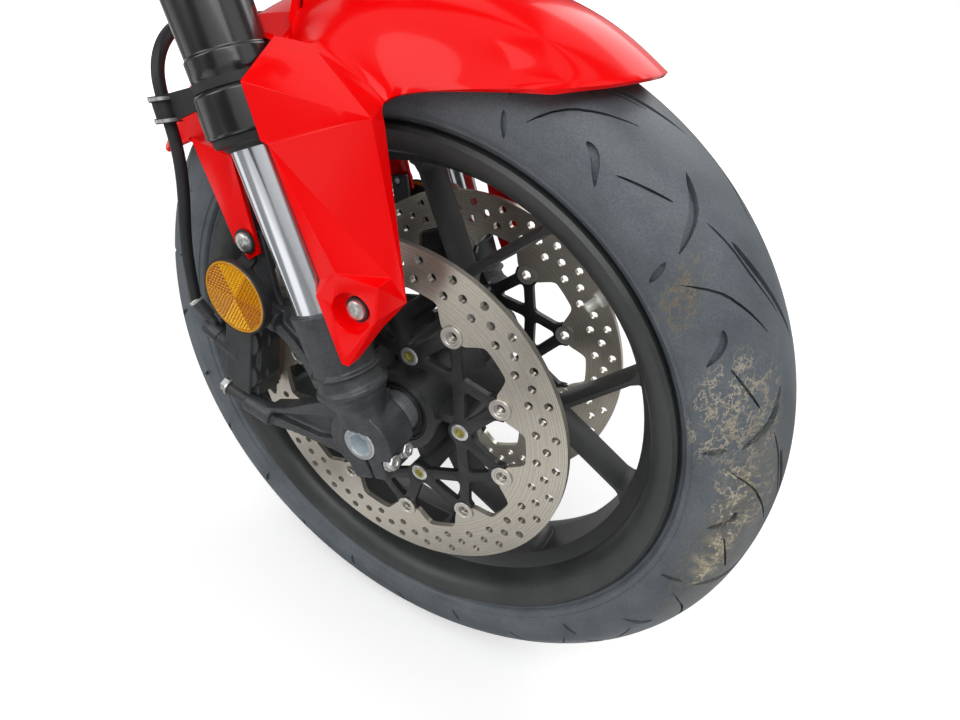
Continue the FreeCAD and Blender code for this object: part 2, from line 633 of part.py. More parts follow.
def make_lower_yoke():
    eye_r = outer_r + yoke_wall
    back = stem_back
    half = [(18.0, 96.0), (6.0, 55.0), (-10.0, 24.0)]
    rear = [(back - 18.0, 30.0), (back - 8.0, 60.0), (-24.0, 96.0)]
    front = half + [(f, -y) for f, y in reversed(half)]
    outline = front + [(f, -y) for f, y in reversed(rear)] + rear
    low = yoke_low + 6.0
    pieces = [flat_on_yoke(outline, low, yoke_high),
              rod(22.0, leg(low, back, 0), leg(yoke_high, back, 0))]
    for y in (-leg_spread, leg_spread):
        pieces.append(rod(eye_r, leg(yoke_low, 0, y), leg(yoke_high, 0, y)))
    inboard = leg_spread - 18.0
    for y in (-inboard, inboard):
        pieces.append(flat_on_yoke([(eye_r - 12.0, y - 11.0), (eye_r + 9.0, y - 11.0), (eye_r + 9.0, y + 11.0), (eye_r - 12.0, y + 11.0)],
                                   yoke_low, yoke_high))
    yoke = joined(pieces)
    cuts = [rod(stem_r, leg(yoke_low - 5, back, 0), leg(yoke_high + 5, back, 0))]
    for y in (-leg_spread, leg_spread):
        cuts.append(rod(outer_r + 0.02, leg(yoke_low - 5, 0, y), leg(yoke_high + 5, 0, y)))
    for y in (-inboard, inboard):
        cuts.append(flat_on_yoke([(outer_r - 8.0, y - 1.5), (eye_r + 15.0, y - 1.5), (eye_r + 15.0, y + 1.5), (outer_r - 8.0, y + 1.5)],
                                 yoke_low - 5, yoke_high + 5))
    return yoke.cut(group(cuts))


def make_stem():
    back = stem_back
    start = yoke_low + 2.0
    profile = [(start, stem_r - 4.0), (start, stem_r - 0.02), (yoke_high, stem_r - 0.02), (yoke_high, seat_r),
               (yoke_high + seat_length, seat_r), (yoke_high + seat_length, stem_r),
               (yoke_high + stem_length, stem_r), (yoke_high + stem_length, stem_r - 4.0)]
    return turned(profile, UP, FORE, leg(0, back, 0))


# Caliper: two halves over the disc, joined by a bridge, with two bores a side
def block(r0, r1, t0, t1, y0, y1, corner=0.0):
    """Block in the caliper's own directions, with its outer corners cut."""
    outline = [(r0, t0), (r1 - corner, t0), (r1, t0 + corner), (r1, t1 - corner), (r1 - corner, t1), (r0, t1)]
    if corner == 0.0:
        outline = [(r0, t0), (r1, t0), (r1, t1), (r0, t1)]
    corners = [caliper_point(r, t, y0) for r, t in outline]
    return Part.Face(Part.makePolygon(corners + corners[:1])).extrude(V(0, y1 - y0, 0))


def make_caliper():
    cavity = disc_face + pad_gap + pad_lining + pad_back
    cavity_in = disc_back - pad_gap - pad_lining - pad_back
    back_r = bolt_seat_r + 5.0
    outer = block(caliper_in_r, back_r, -52.0, 52.0, -caliper_face + 8.0, -cavity, 14.0)
    heel = block(back_r - 8.0, caliper_out_r - 6.0, -42.0, 42.0, -caliper_face + 14.0, -cavity, 10.0)
    face = block(caliper_in_r + 4.0, bolt_seat_r - 1.0, -38.0, 36.0, -caliper_face, -caliper_face + 9.0, 9.0)
    inner = block(caliper_in_r, caliper_out_r - 6.0, -50.0, 50.0, -cavity_in, -caliper_inner_face, 14.0)
    bridge = block(disc_r + 4.0, caliper_out_r, -42.0, 42.0, -caliper_face + 14.0, -caliper_inner_face, 10.0)
    pieces = [outer, heel, face, inner, bridge]
    steps = [(3.0, 10.0, cylinder_r), (10.0, 16.0, cylinder_r - 1.5), (16.0, caliper_face - cavity, cylinder_r + 1.0)]
    for t in (-cylinder_half, cylinder_half):
        for start, end, r in steps:
            pieces.append(rod(r, caliper_point(cylinder_circle_r, t, -caliper_face + start),
                              caliper_point(cylinder_circle_r, t, -caliper_face + end)))
        pieces.append(rod(cylinder_r, caliper_point(cylinder_circle_r, t, -cavity_in),
                          caliper_point(cylinder_circle_r, t, -caliper_inner_face + 1.0)))
    for t in (-caliper_bolt_half, caliper_bolt_half):
        pieces.append(rod(caliper_sleeve_r, caliper_point(lug_end_r, t, -caliper_bolt_y),
                          caliper_point(bolt_seat_r, t, -caliper_bolt_y)))
    pieces.append(rod(union_r, UNION - UNION_WAY * 30.0, UNION - UNION_WAY * 5.5))
    caliper = joined(pieces)
    slot = block(lug_start_r, disc_r + 4.0, -70.0, 70.0, -cavity, -cavity_in)
    window = block(disc_r, caliper_out_r + 2.0, -26.0, 26.0, -disc_face - 6.0, -disc_back + 6.0)
    cuts = [slot, window]
    lug_room = caliper_bolt_half - lug_r - 2.0
    for t0, t1 in ((-caliper_bolt_half - 20.0, -lug_room), (lug_room, caliper_bolt_half + 20.0)):
        cuts.append(block(lug_start_r - 10.0, lug_end_r, t0, t1, -caliper_face - 2.0, -arm_in_y + 6.0))
    for t in (-caliper_bolt_half, caliper_bolt_half):
        cuts.append(rod(caliper_bolt_r, caliper_point(lug_end_r - 2, t, -caliper_bolt_y),
                        caliper_point(caliper_out_r, t, -caliper_bolt_y)))
    cuts.append(rod(union_bolt_r + 0.02, UNION - UNION_WAY * union_depth, UNION))
    return caliper.cut(group(cuts))


def make_caliper_bolts():
    bolts = []
    way = caliper_point(1, 0, 0)
    for t in (-caliper_bolt_half, caliper_bolt_half):
        seat = caliper_point(bolt_seat_r, t, -caliper_bolt_y)
        shank = rod(caliper_bolt_r - 0.02, caliper_point(lug_start_r + 4.0, t, -caliper_bolt_y), seat + way)
        flange = rod(caliper_sleeve_r + 1.5, seat, seat + way * 2.0)
        head = hexagon(seat + way * 1.9, way, 6.6, 6.5)
        bolts.append(joined([shank, flange, head]))
    return bolts


def make_pads():
    pads = []
    for face, way in ((-disc_face - pad_gap, -1.0), (-disc_back + pad_gap, 1.0)):
        lining = block(disc_inner_r + 2.0, disc_r - 1.0, -36.0, 36.0, face, face + way * pad_lining)
        back = block(disc_inner_r - 1.0, disc_r + 1.0, -40.0, 40.0, face + way * pad_lining,
                     face + way * (pad_lining + pad_back - 0.02))
        pads.append(lining.fuse(back).removeSplitter())
    return pads


# Mudguard: a moulded skin, as a net of flat facets. Columns run from the crest to the lower edge,
# rows from the front tip to the tail. Each place is (degrees round the wheel, across, below the crest).
guard_rows = [
    # crest,            mid side,           shoulder,            lower edge
    [(66.0, 0.0, 6.0), (67.3, 30.0, 12.0), (69.5, 50.0, 20.5), (73.0, 67.0, 31.0)],
    [(75.0, 0.0, 2.0), (75.5, 31.0, 7.0), (77.0, 55.0, 21.0), (80.5, 75.0, 47.5)],
    [(86.0, 0.0, 0.0), (86.0, 32.0, 5.0), (87.0, 60.0, 22.0), (89.5, 78.0, 62.0)],
    [(97.0, 0.0, 0.0), (97.0, 33.0, 4.5), (98.5, 63.0, 22.0), (95.0, 82.0, 70.5)],
    [(108.0, 0.0, 0.0), (108.0, 33.0, 4.5), (108.0, 62.0, 22.0), (108.0, 68.0, 56.0)],
    [(122.0, 0.0, 0.0), (122.0, 33.0, 4.5), (122.0, 60.0, 21.0), (124.0, 67.0, 56.0)],
    [(136.0, 0.0, 0.0), (136.0, 32.0, 4.5), (136.0, 60.0, 21.0), (138.0, 73.0, 52.0)],
    [(150.0, 0.0, 2.0), (149.0, 31.0, 6.5), (147.5, 58.0, 21.0), (145.5, 73.0, 35.0)],
]


def guard_skin():
    """The crown: outer and inner nets joined along their edges."""
    count = len(guard_rows)
    half_cols = len(guard_rows[0])
    outer, inner = [], []
    for row in guard_rows:
        half = [(deg, y, crest_r - drop) for deg, y, drop in row]
        line = [(deg, -y, r) for deg, y, r in reversed(half)] + half[1:]
        outer.append([polar(r, deg, y) for deg, y, r in line])
        slim = [(deg, y - math.copysign(skin * 0.8, y) if abs(y) > 45.0 else y, r - skin if abs(y) < 61.0 else r)
                for deg, y, r in line]
        inner.append([polar(r, deg, y) for deg, y, r in slim])
    cols = 2 * half_cols - 1
    faces = []

    def tri(a, b, c):
        faces.append(Part.Face(Part.makePolygon([a, b, c, a])))

    def quad(a, b, c, d):
        tri(a, b, c)
        tri(a, c, d)

    for i in range(count - 1):
        for j in range(cols - 1):
            for net in (outer, inner):
                quad(net[i][j], net[i][j + 1], net[i + 1][j + 1], net[i + 1][j])
        for j in (0, cols - 1):
            quad(outer[i][j], outer[i + 1][j], inner[i + 1][j], inner[i][j])
    for i in (0, count - 1):
        for j in range(cols - 1):
            quad(outer[i][j], outer[i][j + 1], inner[i][j + 1], inner[i][j])
    shell = Part.makeShell(faces)
    shell.sewShape()
    solid = Part.makeSolid(shell)
    if solid.Volume < 0:
        solid.reverse()
    return solid


def facet(corners, shift):
    """One flat panel with its thickness."""
    return Part.Face(Part.makePolygon(corners + corners[:1])).extrude(shift)


# Side leg of the mudguard, right side; each corner is (x, across, z) from the wheel's centre
guard_corners = {
    "notch": V(-90, -92, 270), "notch_root": V(-104, -66, 263), "beak": V(-84, -127, 249), "heel": V(-71.5, -127, 218),
    "heel_step": V(-65.5, -127, 217), "knee": V(-32, -122, 136), "hip": V(-34, -124, 124), "toe": V(-9, -127, 80),
    "toe_front": V(-4, -126, 80), "toe_edge": V(-1, -119, 84), "crease_top": V(-3, -110, 245),
    "ledge_rear": V(-18.5, -122, 146), "ledge_front": V(12, -104, 147), "ledge_corner": V(12, -118, 145),
    "block_low": V(12.5, -118, 121), "block_edge": V(12, -109, 112), "edge_top": V(-4, -96, 240), "edge_low": V(23, -100, 131),
    "under": V(-14, -82, 248), "ridge": V(-69, -84, 269), "shoulder": V(-44, -64, 289), "skirt": V(6, -76, 257),
}
guard_facets = [
    ("notch", "beak", "ridge"), ("beak", "crease_top", "ridge"), ("beak", "heel", "crease_top"),
    ("heel", "heel_step", "crease_top"), ("heel_step", "knee", "ledge_rear"), ("heel_step", "ledge_rear", "ledge_front"),
    ("heel_step", "ledge_front", "crease_top"), ("crease_top", "ledge_front", "edge_low"),
    ("crease_top", "edge_low", "edge_top"), ("crease_top", "edge_top", "under"), ("crease_top", "under", "ridge"),
    ("under", "shoulder", "ridge"), ("under", "skirt", "shoulder"), ("notch", "ridge", "notch_root"),
    ("notch_root", "ridge", "shoulder"), ("ledge_corner", "block_low", "edge_low"), ("ledge_corner", "edge_low", "ledge_front"),
    ("block_low", "block_edge", "edge_low"), ("block_low", "toe_front", "block_edge"), ("toe_front", "toe_edge", "block_edge"),
]
block_facets = [
    ("knee", "hip", "ledge_rear"), ("hip", "ledge_corner", "ledge_rear"), ("hip", "block_low", "ledge_corner"),
    ("hip", "toe", "block_low"), ("toe", "toe_front", "block_low"),
]
ledge_facet = ("ledge_rear", "ledge_corner", "ledge_front")


def guard_corner(name):
    """A corner of the side leg: high ones rise with the crest, outer ones stand out with the fork leg."""
    corner = guard_corners[name]
    rise = min(1.0, max(0.0, (corner.z - 147.0) / 70.0)) * (crest_r - drawn_crest_r)
    out = min(1.0, max(0.0, (-corner.y - 76.0) / 16.0)) * (leg_spread - drawn_leg_spread)
    return corner + V(-rise * SINR / COSR, -out, rise)


def panel(names, shift):
    return facet([guard_corner(n) for n in names], shift)


def make_mudguard():
    inward = V(0, skin, 0)
    side = [panel(names, inward) for names in guard_facets + block_facets]
    side.append(panel(ledge_facet, V(0, 0, -skin)))
    rear, front = guard_corner("ledge_rear"), guard_corner("ledge_front")
    side.append(facet([rear, front, front + inward, rear + inward], V(0, 0, -skin)))
    strip_y = -rear_strip_y
    rise = crest_r - drawn_crest_r
    lean = rise * SINR / COSR
    strip = [(-128.0 - lean, 186.0 + rise), (-168.0 - lean, 192.0 + rise)]
    side.append(plate([(rear_bolt.x - 10.0, rear_bolt.z - 5.0), (rear_bolt.x + 4.0, rear_bolt.z - 11.0),
                       (rear_bolt.x + 11.0, rear_bolt.z - 5.0)] + strip, strip_y, strip_y + skin))
    a, b = [V(x, strip_y, z) for x, z in strip]
    c, d = V(-196.0 - lean, -70.0, 186.0 + rise), V(-140.0 - lean, -70.0, 226.0 + rise)
    side += [facet([a, b, c], inward), facet([a, c, d], inward)]
    floor = -cup_y + skin
    cup = cross_rod(cup_r + skin + 1.5, front_bolt.x, front_bolt.z, floor - 20.0, floor)
    cup = cup.cut(group([panel(names, V(0, -30.0, 0)) for names in block_facets]))
    side.append(cup)
    guard = joined([guard_skin()] + side + [left_of(piece) for piece in side])
    mouth = Part.makeCone(cup_mouth_r + 1.4, cup_r, 18.0, V(front_bolt.x, -cup_y - 18.0, front_bolt.z), V(0, 1, 0))
    cuts = [mouth, left_of(mouth)]
    for y0, y1 in ((-leg_spread - 36.0, -leg_spread + 14.0), (leg_spread - 14.0, leg_spread + 36.0)):
        cuts.append(cross_rod(3.2, front_bolt.x, front_bolt.z, y0, y1))
        cuts.append(cross_rod(3.2, rear_bolt.x, rear_bolt.z, y0, y1))
    return guard.cut(group(cuts))


def make_mudguard_bolts():
    bolts = []
    tab = rear_strip_y + 3.2
    for place, face, back in ((front_bolt, -cup_y, -cup_y + 12.0), (rear_bolt, -tab, -rear_strip_y + 10.0)):
        profile = [(face - 5.0, 3.0), (face - 5.0, 6.0), (face - 2.0, 9.0), (face - 0.1, 9.0), (face - 0.1, 2.98),
                   (back, 2.98), (back, 0.0), (face - 2.5, 0.0), (face - 2.5, 3.0)]
        bolts.append(turned(profile, centre=V(place.x, 0, place.z)))
    return bolts


# Round amber reflector on its own bracket
reflector_centre = V(-111.0, 0, 93.0)


def make_reflector_lens():
    return cross_rod(reflector_r, reflector_centre.x, reflector_centre.z, -reflector_y, -reflector_y + reflector_thickness)


def make_reflector_holder():
    back = -reflector_y + reflector_thickness
    cup = cross_rod(reflector_r + 1.5, reflector_centre.x, reflector_centre.z, back, back + 3.0)
    low = back + 3.0
    seat = -rear_strip_y - 0.1
    z = rear_bolt.z
    bend = [(low - 0.5, 84.0), (low - 0.5, 104.0), (seat - 2.5, 114.0), (seat - 2.5, z + 9.0),
            (seat, z + 9.0), (seat, 112.5), (low + 2.0, 102.5), (low + 2.0, 84.0)]
    corners = [V(rear_bolt.x - 7.0, y, z) for y, z in bend]
    arm = Part.Face(Part.makePolygon(corners + corners[:1])).extrude(V(14.0, 0, 0))
    hole = cross_rod(3.2, rear_bolt.x, rear_bolt.z, seat - 10.0, seat + 5.0)
    return joined([cup, arm]).cut(hole)


# Brake hose from caliper to caliper, over the mudguard: straight runs joined by tangent arcs.
# The points of the right half start at the caliper.
hose_half = [V(-180.5, -106, 54), V(-180.5, -108, 88), V(-178, -108, 120), V(-174.5, -106.5, 152), V(-174.5, -106, 182),
             V(-184, -105, 212), V(-190, -102, 232), V(-195, -90, 248), V(-201, -70, 257), V(-208, -43, 259),
             V(-213, -14, 256)]
hose_points = hose_half + [V(p.x, -p.y, p.z) for p in reversed(hose_half)]
clamp_run = 4             # the clamp sits near the end of the run that starts at this point


def hose_path(points):
    edges = []
    radii = []
    last = points[0]
    for i in range(1, len(points) - 1):
        a, b, c = points[i - 1], points[i], points[i + 1]
        into = (b - a)
        out = (c - b)
        shorter = min(into.Length, out.Length)
        turn = into.getAngle(out)
        radius = 0.45 * shorter / math.tan(turn / 2.0)
        radii.append(radius)
        into.normalize()
        out.normalize()
        start = b - into * (0.45 * shorter)
        end = b + out * (0.45 * shorter)
        bisect = (out - into)
        bisect.normalize()
        centre = b + bisect * (radius / math.cos(turn / 2.0))
        middle = centre - bisect * radius
        edges.append(Part.LineSegment(last, start).toShape())
        edges.append(Part.Arc(start, middle, end).toShape())
        last = end
    edges.append(Part.LineSegment(last, points[-1]).toShape())
    return Part.Wire(edges), radii


# Union of the hose's end and the caliper: the eye's place, and the way its bolt points
UNION_SHIFT = caliper_point(disc_r - drawn_disc_r, 0, drawn_leg_spread - leg_spread)
UNION = V(-165.0, -102.0, 27.0) + UNION_SHIFT
UNION_ELBOW = V(-168.0, -102.0, 38.0) + UNION_SHIFT
UNION_WAY = caliper_point(0.98, 0.2, 0)


def make_hose():
    path, radii = hose_path(hose_points)
    way = hose_points[1] - hose_points[0]
    section = Part.Wire(Part.makeCircle(hose_r, hose_points[0], way))
    tube = path.makePipeShell([section], True, False)
    expected = math.pi * hose_r ** 2 * path.Length
    print("hose radii", [round(r) for r in radii], "length", round(path.Length),
          "volume ratio", round(tube.Volume / expected, 4))
    return tube


def make_hose_clamp(hose, tube):
    """Grommet and two collars round the hose, on a strap from a band in the outer tube's groove."""
    low, high = hose_points[clamp_run], hose_points[clamp_run + 1]
    hold = low + (high - low) * 0.85
    way = high - low
    way.normalize()
    pieces = [rod(grommet_r, hold - way * 6.0, hold + way * 6.0)]
    for step in (-7.0, 7.0):
        pieces.append(rod(collar_ring_r, hold + way * (step - 1.8), hold + way * (step + 1.8)))
    middle = (groove_low + groove_high) / 2.0
    seat = leg(middle, -groove_r - 1.0, -leg_spread)
    end = V(hold.x, -leg_spread, hold.z)
    side = (seat - end).cross(V(0, 1, 0))
    side.normalize()
    corners = [end + side * 9.0, seat + side * 6.0, seat - side * 6.0, end - side * 9.0]
    strap = Part.Face(Part.makePolygon([c - V(0, 1.5, 0) for c in corners + corners[:1]])).extrude(V(0, 3.0, 0))
    band_low, band_high = groove_low + 0.8, groove_high - 0.8
    band = leg_turned([(band_low, groove_r), (band_low, groove_r + 1.6), (band_high, groove_r + 1.6), (band_high, groove_r)],
                      -leg_spread)
    return joined(pieces + [strap, band]).cut(group([hose, tube]))


def make_banjo(hose):
    """Union at the hose's lower end, with its bolt in the back of the caliper."""
    end = hose_points[0]
    way = UNION_ELBOW - end
    ferrule = rod(ferrule_r, end - way * 0.15, end + way * 0.8)
    neck = joined([rod(3.6, end + way * 0.7, UNION_ELBOW), Part.makeSphere(3.6, UNION_ELBOW), rod(3.6, UNION_ELBOW, UNION)])
    eye = rod(union_r, UNION - UNION_WAY * 5.5, UNION + UNION_WAY * 5.5)
    root = rod(union_bolt_r, UNION - UNION_WAY * union_depth, UNION)
    head = hexagon(UNION + UNION_WAY * 5.4, UNION_WAY, 7.4, 6.0)
    return joined([ferrule, neck, eye, root, head]).cut(hose)


wheel, disc_boss_top = make_wheel()
valve = make_valve()
save("wheel_casting", wheel.cut(valve))
save("tyre_valve", valve)
save("tyre", make_tyre())
save_both("wheel_bearings", make_bearings())
save_both("wheel_seals", make_seals())
save_pair("brake_disc", make_disc())
save_pair("disc_carrier", make_carrier(disc_boss_top))
save_both("disc_bobbins", group(make_bobbins()))
save_both("carrier_bolts", group(make_carrier_bolts(disc_boss_top)))
save("axle", make_axle())
save_both("axle_spacers", make_spacer())
save_pair("fork_bottom", make_fork_bottom())
save_both("pinch_bolts", group(make_pinch_bolts()))
save_pair("inner_tube", make_inner_tube())
save_pair("dust_seal", make_dust_seal())
outer_tube = make_outer_tube()
save_pair("outer_tube", outer_tube)
save_both("fork_caps", make_fork_cap())
save("lower_yoke", make_lower_yoke())
save("steering_stem", make_stem())
save_pair("caliper", make_caliper())
save_both("caliper_bolts", group(make_caliper_bolts()))
save_both("brake_pads", group(make_pads()))
save("mudguard", make_mudguard())
save_both("mudguard_bolts", group(make_mudguard_bolts()))
save_pair("reflector_lens", make_reflector_lens())
save_pair("reflector_holder", make_reflector_holder())
hose = make_hose()
save("brake_hose", hose)
save_pair("hose_clamp", make_hose_clamp(hose, outer_tube))
save_both("banjo_fittings", make_banjo(hose))
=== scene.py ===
import math

import bpy
from mathutils import Matrix, Vector


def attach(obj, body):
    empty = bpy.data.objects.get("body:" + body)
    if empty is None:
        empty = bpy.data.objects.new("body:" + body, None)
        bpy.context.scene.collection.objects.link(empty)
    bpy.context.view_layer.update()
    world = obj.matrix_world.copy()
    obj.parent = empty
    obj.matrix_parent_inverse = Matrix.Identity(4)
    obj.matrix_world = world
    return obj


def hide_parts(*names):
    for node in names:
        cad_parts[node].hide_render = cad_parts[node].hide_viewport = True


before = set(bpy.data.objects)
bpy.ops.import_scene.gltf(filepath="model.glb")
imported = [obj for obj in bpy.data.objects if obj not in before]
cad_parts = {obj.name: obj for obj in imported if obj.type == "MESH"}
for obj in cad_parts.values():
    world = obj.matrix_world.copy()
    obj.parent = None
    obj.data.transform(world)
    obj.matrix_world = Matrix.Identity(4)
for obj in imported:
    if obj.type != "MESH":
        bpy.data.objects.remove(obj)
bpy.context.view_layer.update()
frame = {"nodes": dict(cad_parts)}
nodes = frame["nodes"]

# Camera: a wide lens, low at the right front, looking down and back at the wheel. Its place comes from the
# ellipses of the rim and the disc in the photograph.
camera_data = bpy.data.cameras.new("camera")
camera_data.lens = 22.504
camera_data.sensor_width = 36.0
camera = bpy.data.objects.new("camera", camera_data)
bpy.context.scene.collection.objects.link(camera)
camera.matrix_world = Matrix(((0.86891916, -0.37627907, 0.3215487, 0.473479),
                              (0.47574075, 0.45568613, -0.75234359, -0.395730),
                              (0.13656586, 0.80669958, 0.5749657, -0.129265),
                              (0.0, 0.0, 0.0, 1.0)))
bpy.context.scene.camera = camera

# Brake hose: reinforced rubber hose, 8.8 mm thick, from the right caliper up the fork leg, through its
# clamp and over the mudguard to the left caliper. Its line is smooth and follows the same points as the CAD.
WHEEL = Vector((0.264622, 0.0, -0.466524))
HOSE_THICKNESS = 0.0088


def at(x, y, z):
    """Row-frame place of a point in millimetres from the wheel's centre."""
    return WHEEL + Vector((x, y, z)) * 0.001


def material(name, color=(0.5, 0.5, 0.5), metallic=0.0, roughness=0.5, **more):
    """A material with its Principled shader's plain values set."""
    made = bpy.data.materials.new(name)
    made.use_nodes = True
    shader = made.node_tree.nodes["Principled BSDF"]
    shader.inputs["Base Color"].default_value = (*color, 1.0)
    shader.inputs["Metallic"].default_value = metallic
    shader.inputs["Roughness"].default_value = roughness
    for key, value in more.items():
        shader.inputs[key.replace("_", " ")].default_value = value
    return made


def add(tree, kind, inputs=None, **settings):
    """Adds a shader node; an input is a value, or the socket that feeds it."""
    made = tree.nodes.new("ShaderNode" + kind)
    for key, value in settings.items():
        setattr(made, key, value)
    for key, value in (inputs or {}).items():
        if isinstance(value, bpy.types.NodeSocket):
            tree.links.new(value, made.inputs[key])
        else:
            made.inputs[key].default_value = value
    return made


def maths(tree, operation, *values):
    """The result of a maths node on numbers and sockets."""
    return add(tree, "Math", dict(enumerate(values)), operation=operation).outputs[0]


def ranged(tree, value, low, high, to_low=0.0, to_high=1.0, **settings):
    """A value moved from one range to another."""
    return add(tree, "MapRange", {"Value": value, "From Min": low, "From Max": high, "To Min": to_low,
                                  "To Max": to_high}, **settings).outputs[0]


def mixed(tree, share, first, second, kind="RGBA"):
    """A blend of two colours, or of two numbers where the kind is FLOAT."""
    slot, out = (6, 2) if kind == "RGBA" else (2, 0)
    return add(tree, "Mix", {0: share, slot: first, slot + 1: second}, data_type=kind).outputs[out]


def noise(tree, place, scale, detail, roughness=0.6):
    """Fractal noise at a place."""
    return add(tree, "TexNoise", {"Vector": place, "Scale": scale, "Detail": detail,
                                  "Roughness": roughness}).outputs["Fac"]


def feed(made, **inputs):
    """Joins sockets to the Principled shader's inputs."""
    shader = made.node_tree.nodes["Principled BSDF"]
    for key, socket in inputs.items():
        made.node_tree.links.new(socket, shader.inputs[key.replace("_", " ")])


# Surface grain is two sizes of noise, in a node group that moulded, cast, painted and machined finishes
# share. It gives a colour between two, a roughness between two, and a height.
grain_group = bpy.data.node_groups.new("surface_grain", "ShaderNodeTree")
for way, kind, names in (("INPUT", "Float", ("Scale", "Patch Scale", "Rough A", "Rough B")),
                         ("INPUT", "Color", ("Color A", "Color B")),
                         ("OUTPUT", "Float", ("Roughness", "Height")), ("OUTPUT", "Color", ("Color",))):
    for name in names:
        grain_group.interface.new_socket(name=name, in_out=way, socket_type="NodeSocket" + kind)
g_in = grain_group.nodes.new("NodeGroupInput").outputs
g_out = grain_group.nodes.new("NodeGroupOutput").inputs
g_place = add(grain_group, "TexCoord").outputs["Object"]
g_fine = noise(grain_group, g_place, g_in["Scale"], 3.0)
g_patch = noise(grain_group, g_place, g_in["Patch Scale"], 5.0)
g_share = ranged(grain_group, maths(grain_group, "MULTIPLY", g_fine, g_patch), 0.12, 0.42)
g_clear = ranged(grain_group, g_patch, 0.3, 0.7)
for name, socket in (("Color", mixed(grain_group, g_share, g_in["Color A"], g_in["Color B"])),
                     ("Roughness", mixed(grain_group, g_clear, g_in["Rough A"], g_in["Rough B"], "FLOAT")),
                     ("Height", g_fine)):
    grain_group.links.new(socket, g_out[name])


def grained(name, color_a, color_b, rough, metallic=0.0, scale=900.0, patch=60.0, bump=0.1, depth=0.0001,
            **more):
    """A material whose colour, roughness and relief come from the grain group."""
    made = material(name, color_a, metallic, rough[0], **more)
    tree = made.node_tree
    grain = add(tree, "Group",
                {"Scale": scale, "Patch Scale": patch, "Color A": (*color_a, 1.0), "Color B": (*color_b, 1.0),
                 "Rough A": rough[0], "Rough B": rough[1]}, node_tree=grain_group).outputs
    relief = add(tree, "Bump", {"Height": grain["Height"], "Strength": bump, "Distance": depth})
    feed(made, Base_Color=grain["Color"], Roughness=grain["Roughness"], Normal=relief.outputs["Normal"])
    return made


hose_half = [(-180.5, -106, 54), (-180.5, -108, 88), (-178, -108, 120), (-174.5, -106.5, 152),
             (-174.5, -106, 182), (-184, -105, 212), (-190, -102, 232), (-195, -90, 248), (-201, -70, 257),
             (-208, -43, 259), (-213, -14, 256)]
hose_route = [at(*p) for p in hose_half] + [at(x, -y, z) for x, y, z in reversed(hose_half)]
hose_curve = bpy.data.curves.new("brake_hose_line", "CURVE")
hose_curve.dimensions = "3D"
hose_curve.resolution_u = hose_curve.render_resolution_u = 16
hose_curve.bevel_depth = HOSE_THICKNESS / 2
hose_curve.bevel_resolution = 6
hose_spline = hose_curve.splines.new("NURBS")
hose_spline.points.add(len(hose_route) - 1)
for spline_point, place in zip(hose_spline.points, hose_route):
    spline_point.co = (*place, 1.0)
hose_spline.order_u = 3
hose_spline.use_endpoint_u = True
hose = bpy.data.objects.new("brake_hose_line", hose_curve)
bpy.context.scene.collection.objects.link(hose)
hose_curve.materials.append(grained("hose_rubber", (0.012, 0.013, 0.015), (0.03, 0.031, 0.034), (0.42, 0.62),
                                    scale=1500.0, bump=0.25))
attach(hose, "fork")
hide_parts("brake_hose")

# Floor, room and lamps: a plain pale floor that keeps the shadow, a bright room with softer dark bands for
# the plated and glossy parts to show, one large soft lamp above and before the wheel, and two weaker ones.
TYRE_R = 296.0
LIT_PLACE = Vector((0.15, 0.0, -0.45))


def banded(tree, axes, count, turned, low, high, dark, light):
    """Soft dark bands, so many round the upright axis."""
    turn = maths(tree, "ARCTAN2", axes["Y"], axes["X"])
    wave = maths(tree, "SINE", maths(tree, "MULTIPLY_ADD", turn, count, turned))
    return ranged(tree, wave, low, high, dark, light, interpolation_type="SMOOTHSTEP")


bpy.ops.mesh.primitive_plane_add(size=80.0, location=(0.0, 0.0, WHEEL.z - TYRE_R * 0.001))
floor = bpy.context.object
floor.name = "floor"
floor_paint = material("floor_paint", (0.8, 0.8, 0.8), roughness=0.9, Emission_Color=(1.0, 1.0, 1.0, 1.0))
paint_tree = floor_paint.node_tree
floor_place = add(paint_tree, "TexCoord").outputs["Object"]
floor_axes = add(paint_tree, "SeparateXYZ", {0: floor_place}).outputs
floor_reach = add(paint_tree, "VectorMath", {0: floor_place}, operation="LENGTH").outputs["Value"]
floor_rays = add(paint_tree, "LightPath").outputs
floor_band = banded(paint_tree, floor_axes, 7.0, 1.2, -0.5, 0.7, 0.14, 0.9)
floor_seen = maths(paint_tree, "MAXIMUM", floor_rays["Is Camera Ray"], floor_rays["Is Transmission Ray"])
floor_mirrored = maths(paint_tree, "MULTIPLY", floor_rays["Is Glossy Ray"], 0.12)
floor_lit = maths(paint_tree, "MAXIMUM", floor_seen, floor_mirrored)
feed(floor_paint, Base_Color=mixed(paint_tree, floor_rays["Is Glossy Ray"], 0.8, floor_band, "FLOAT"),
     Emission_Strength=maths(paint_tree, "MULTIPLY", floor_lit,
                             ranged(paint_tree, floor_reach, 0.9, 2.6, 0.42, 1.0)))
floor.data.materials.append(floor_paint)

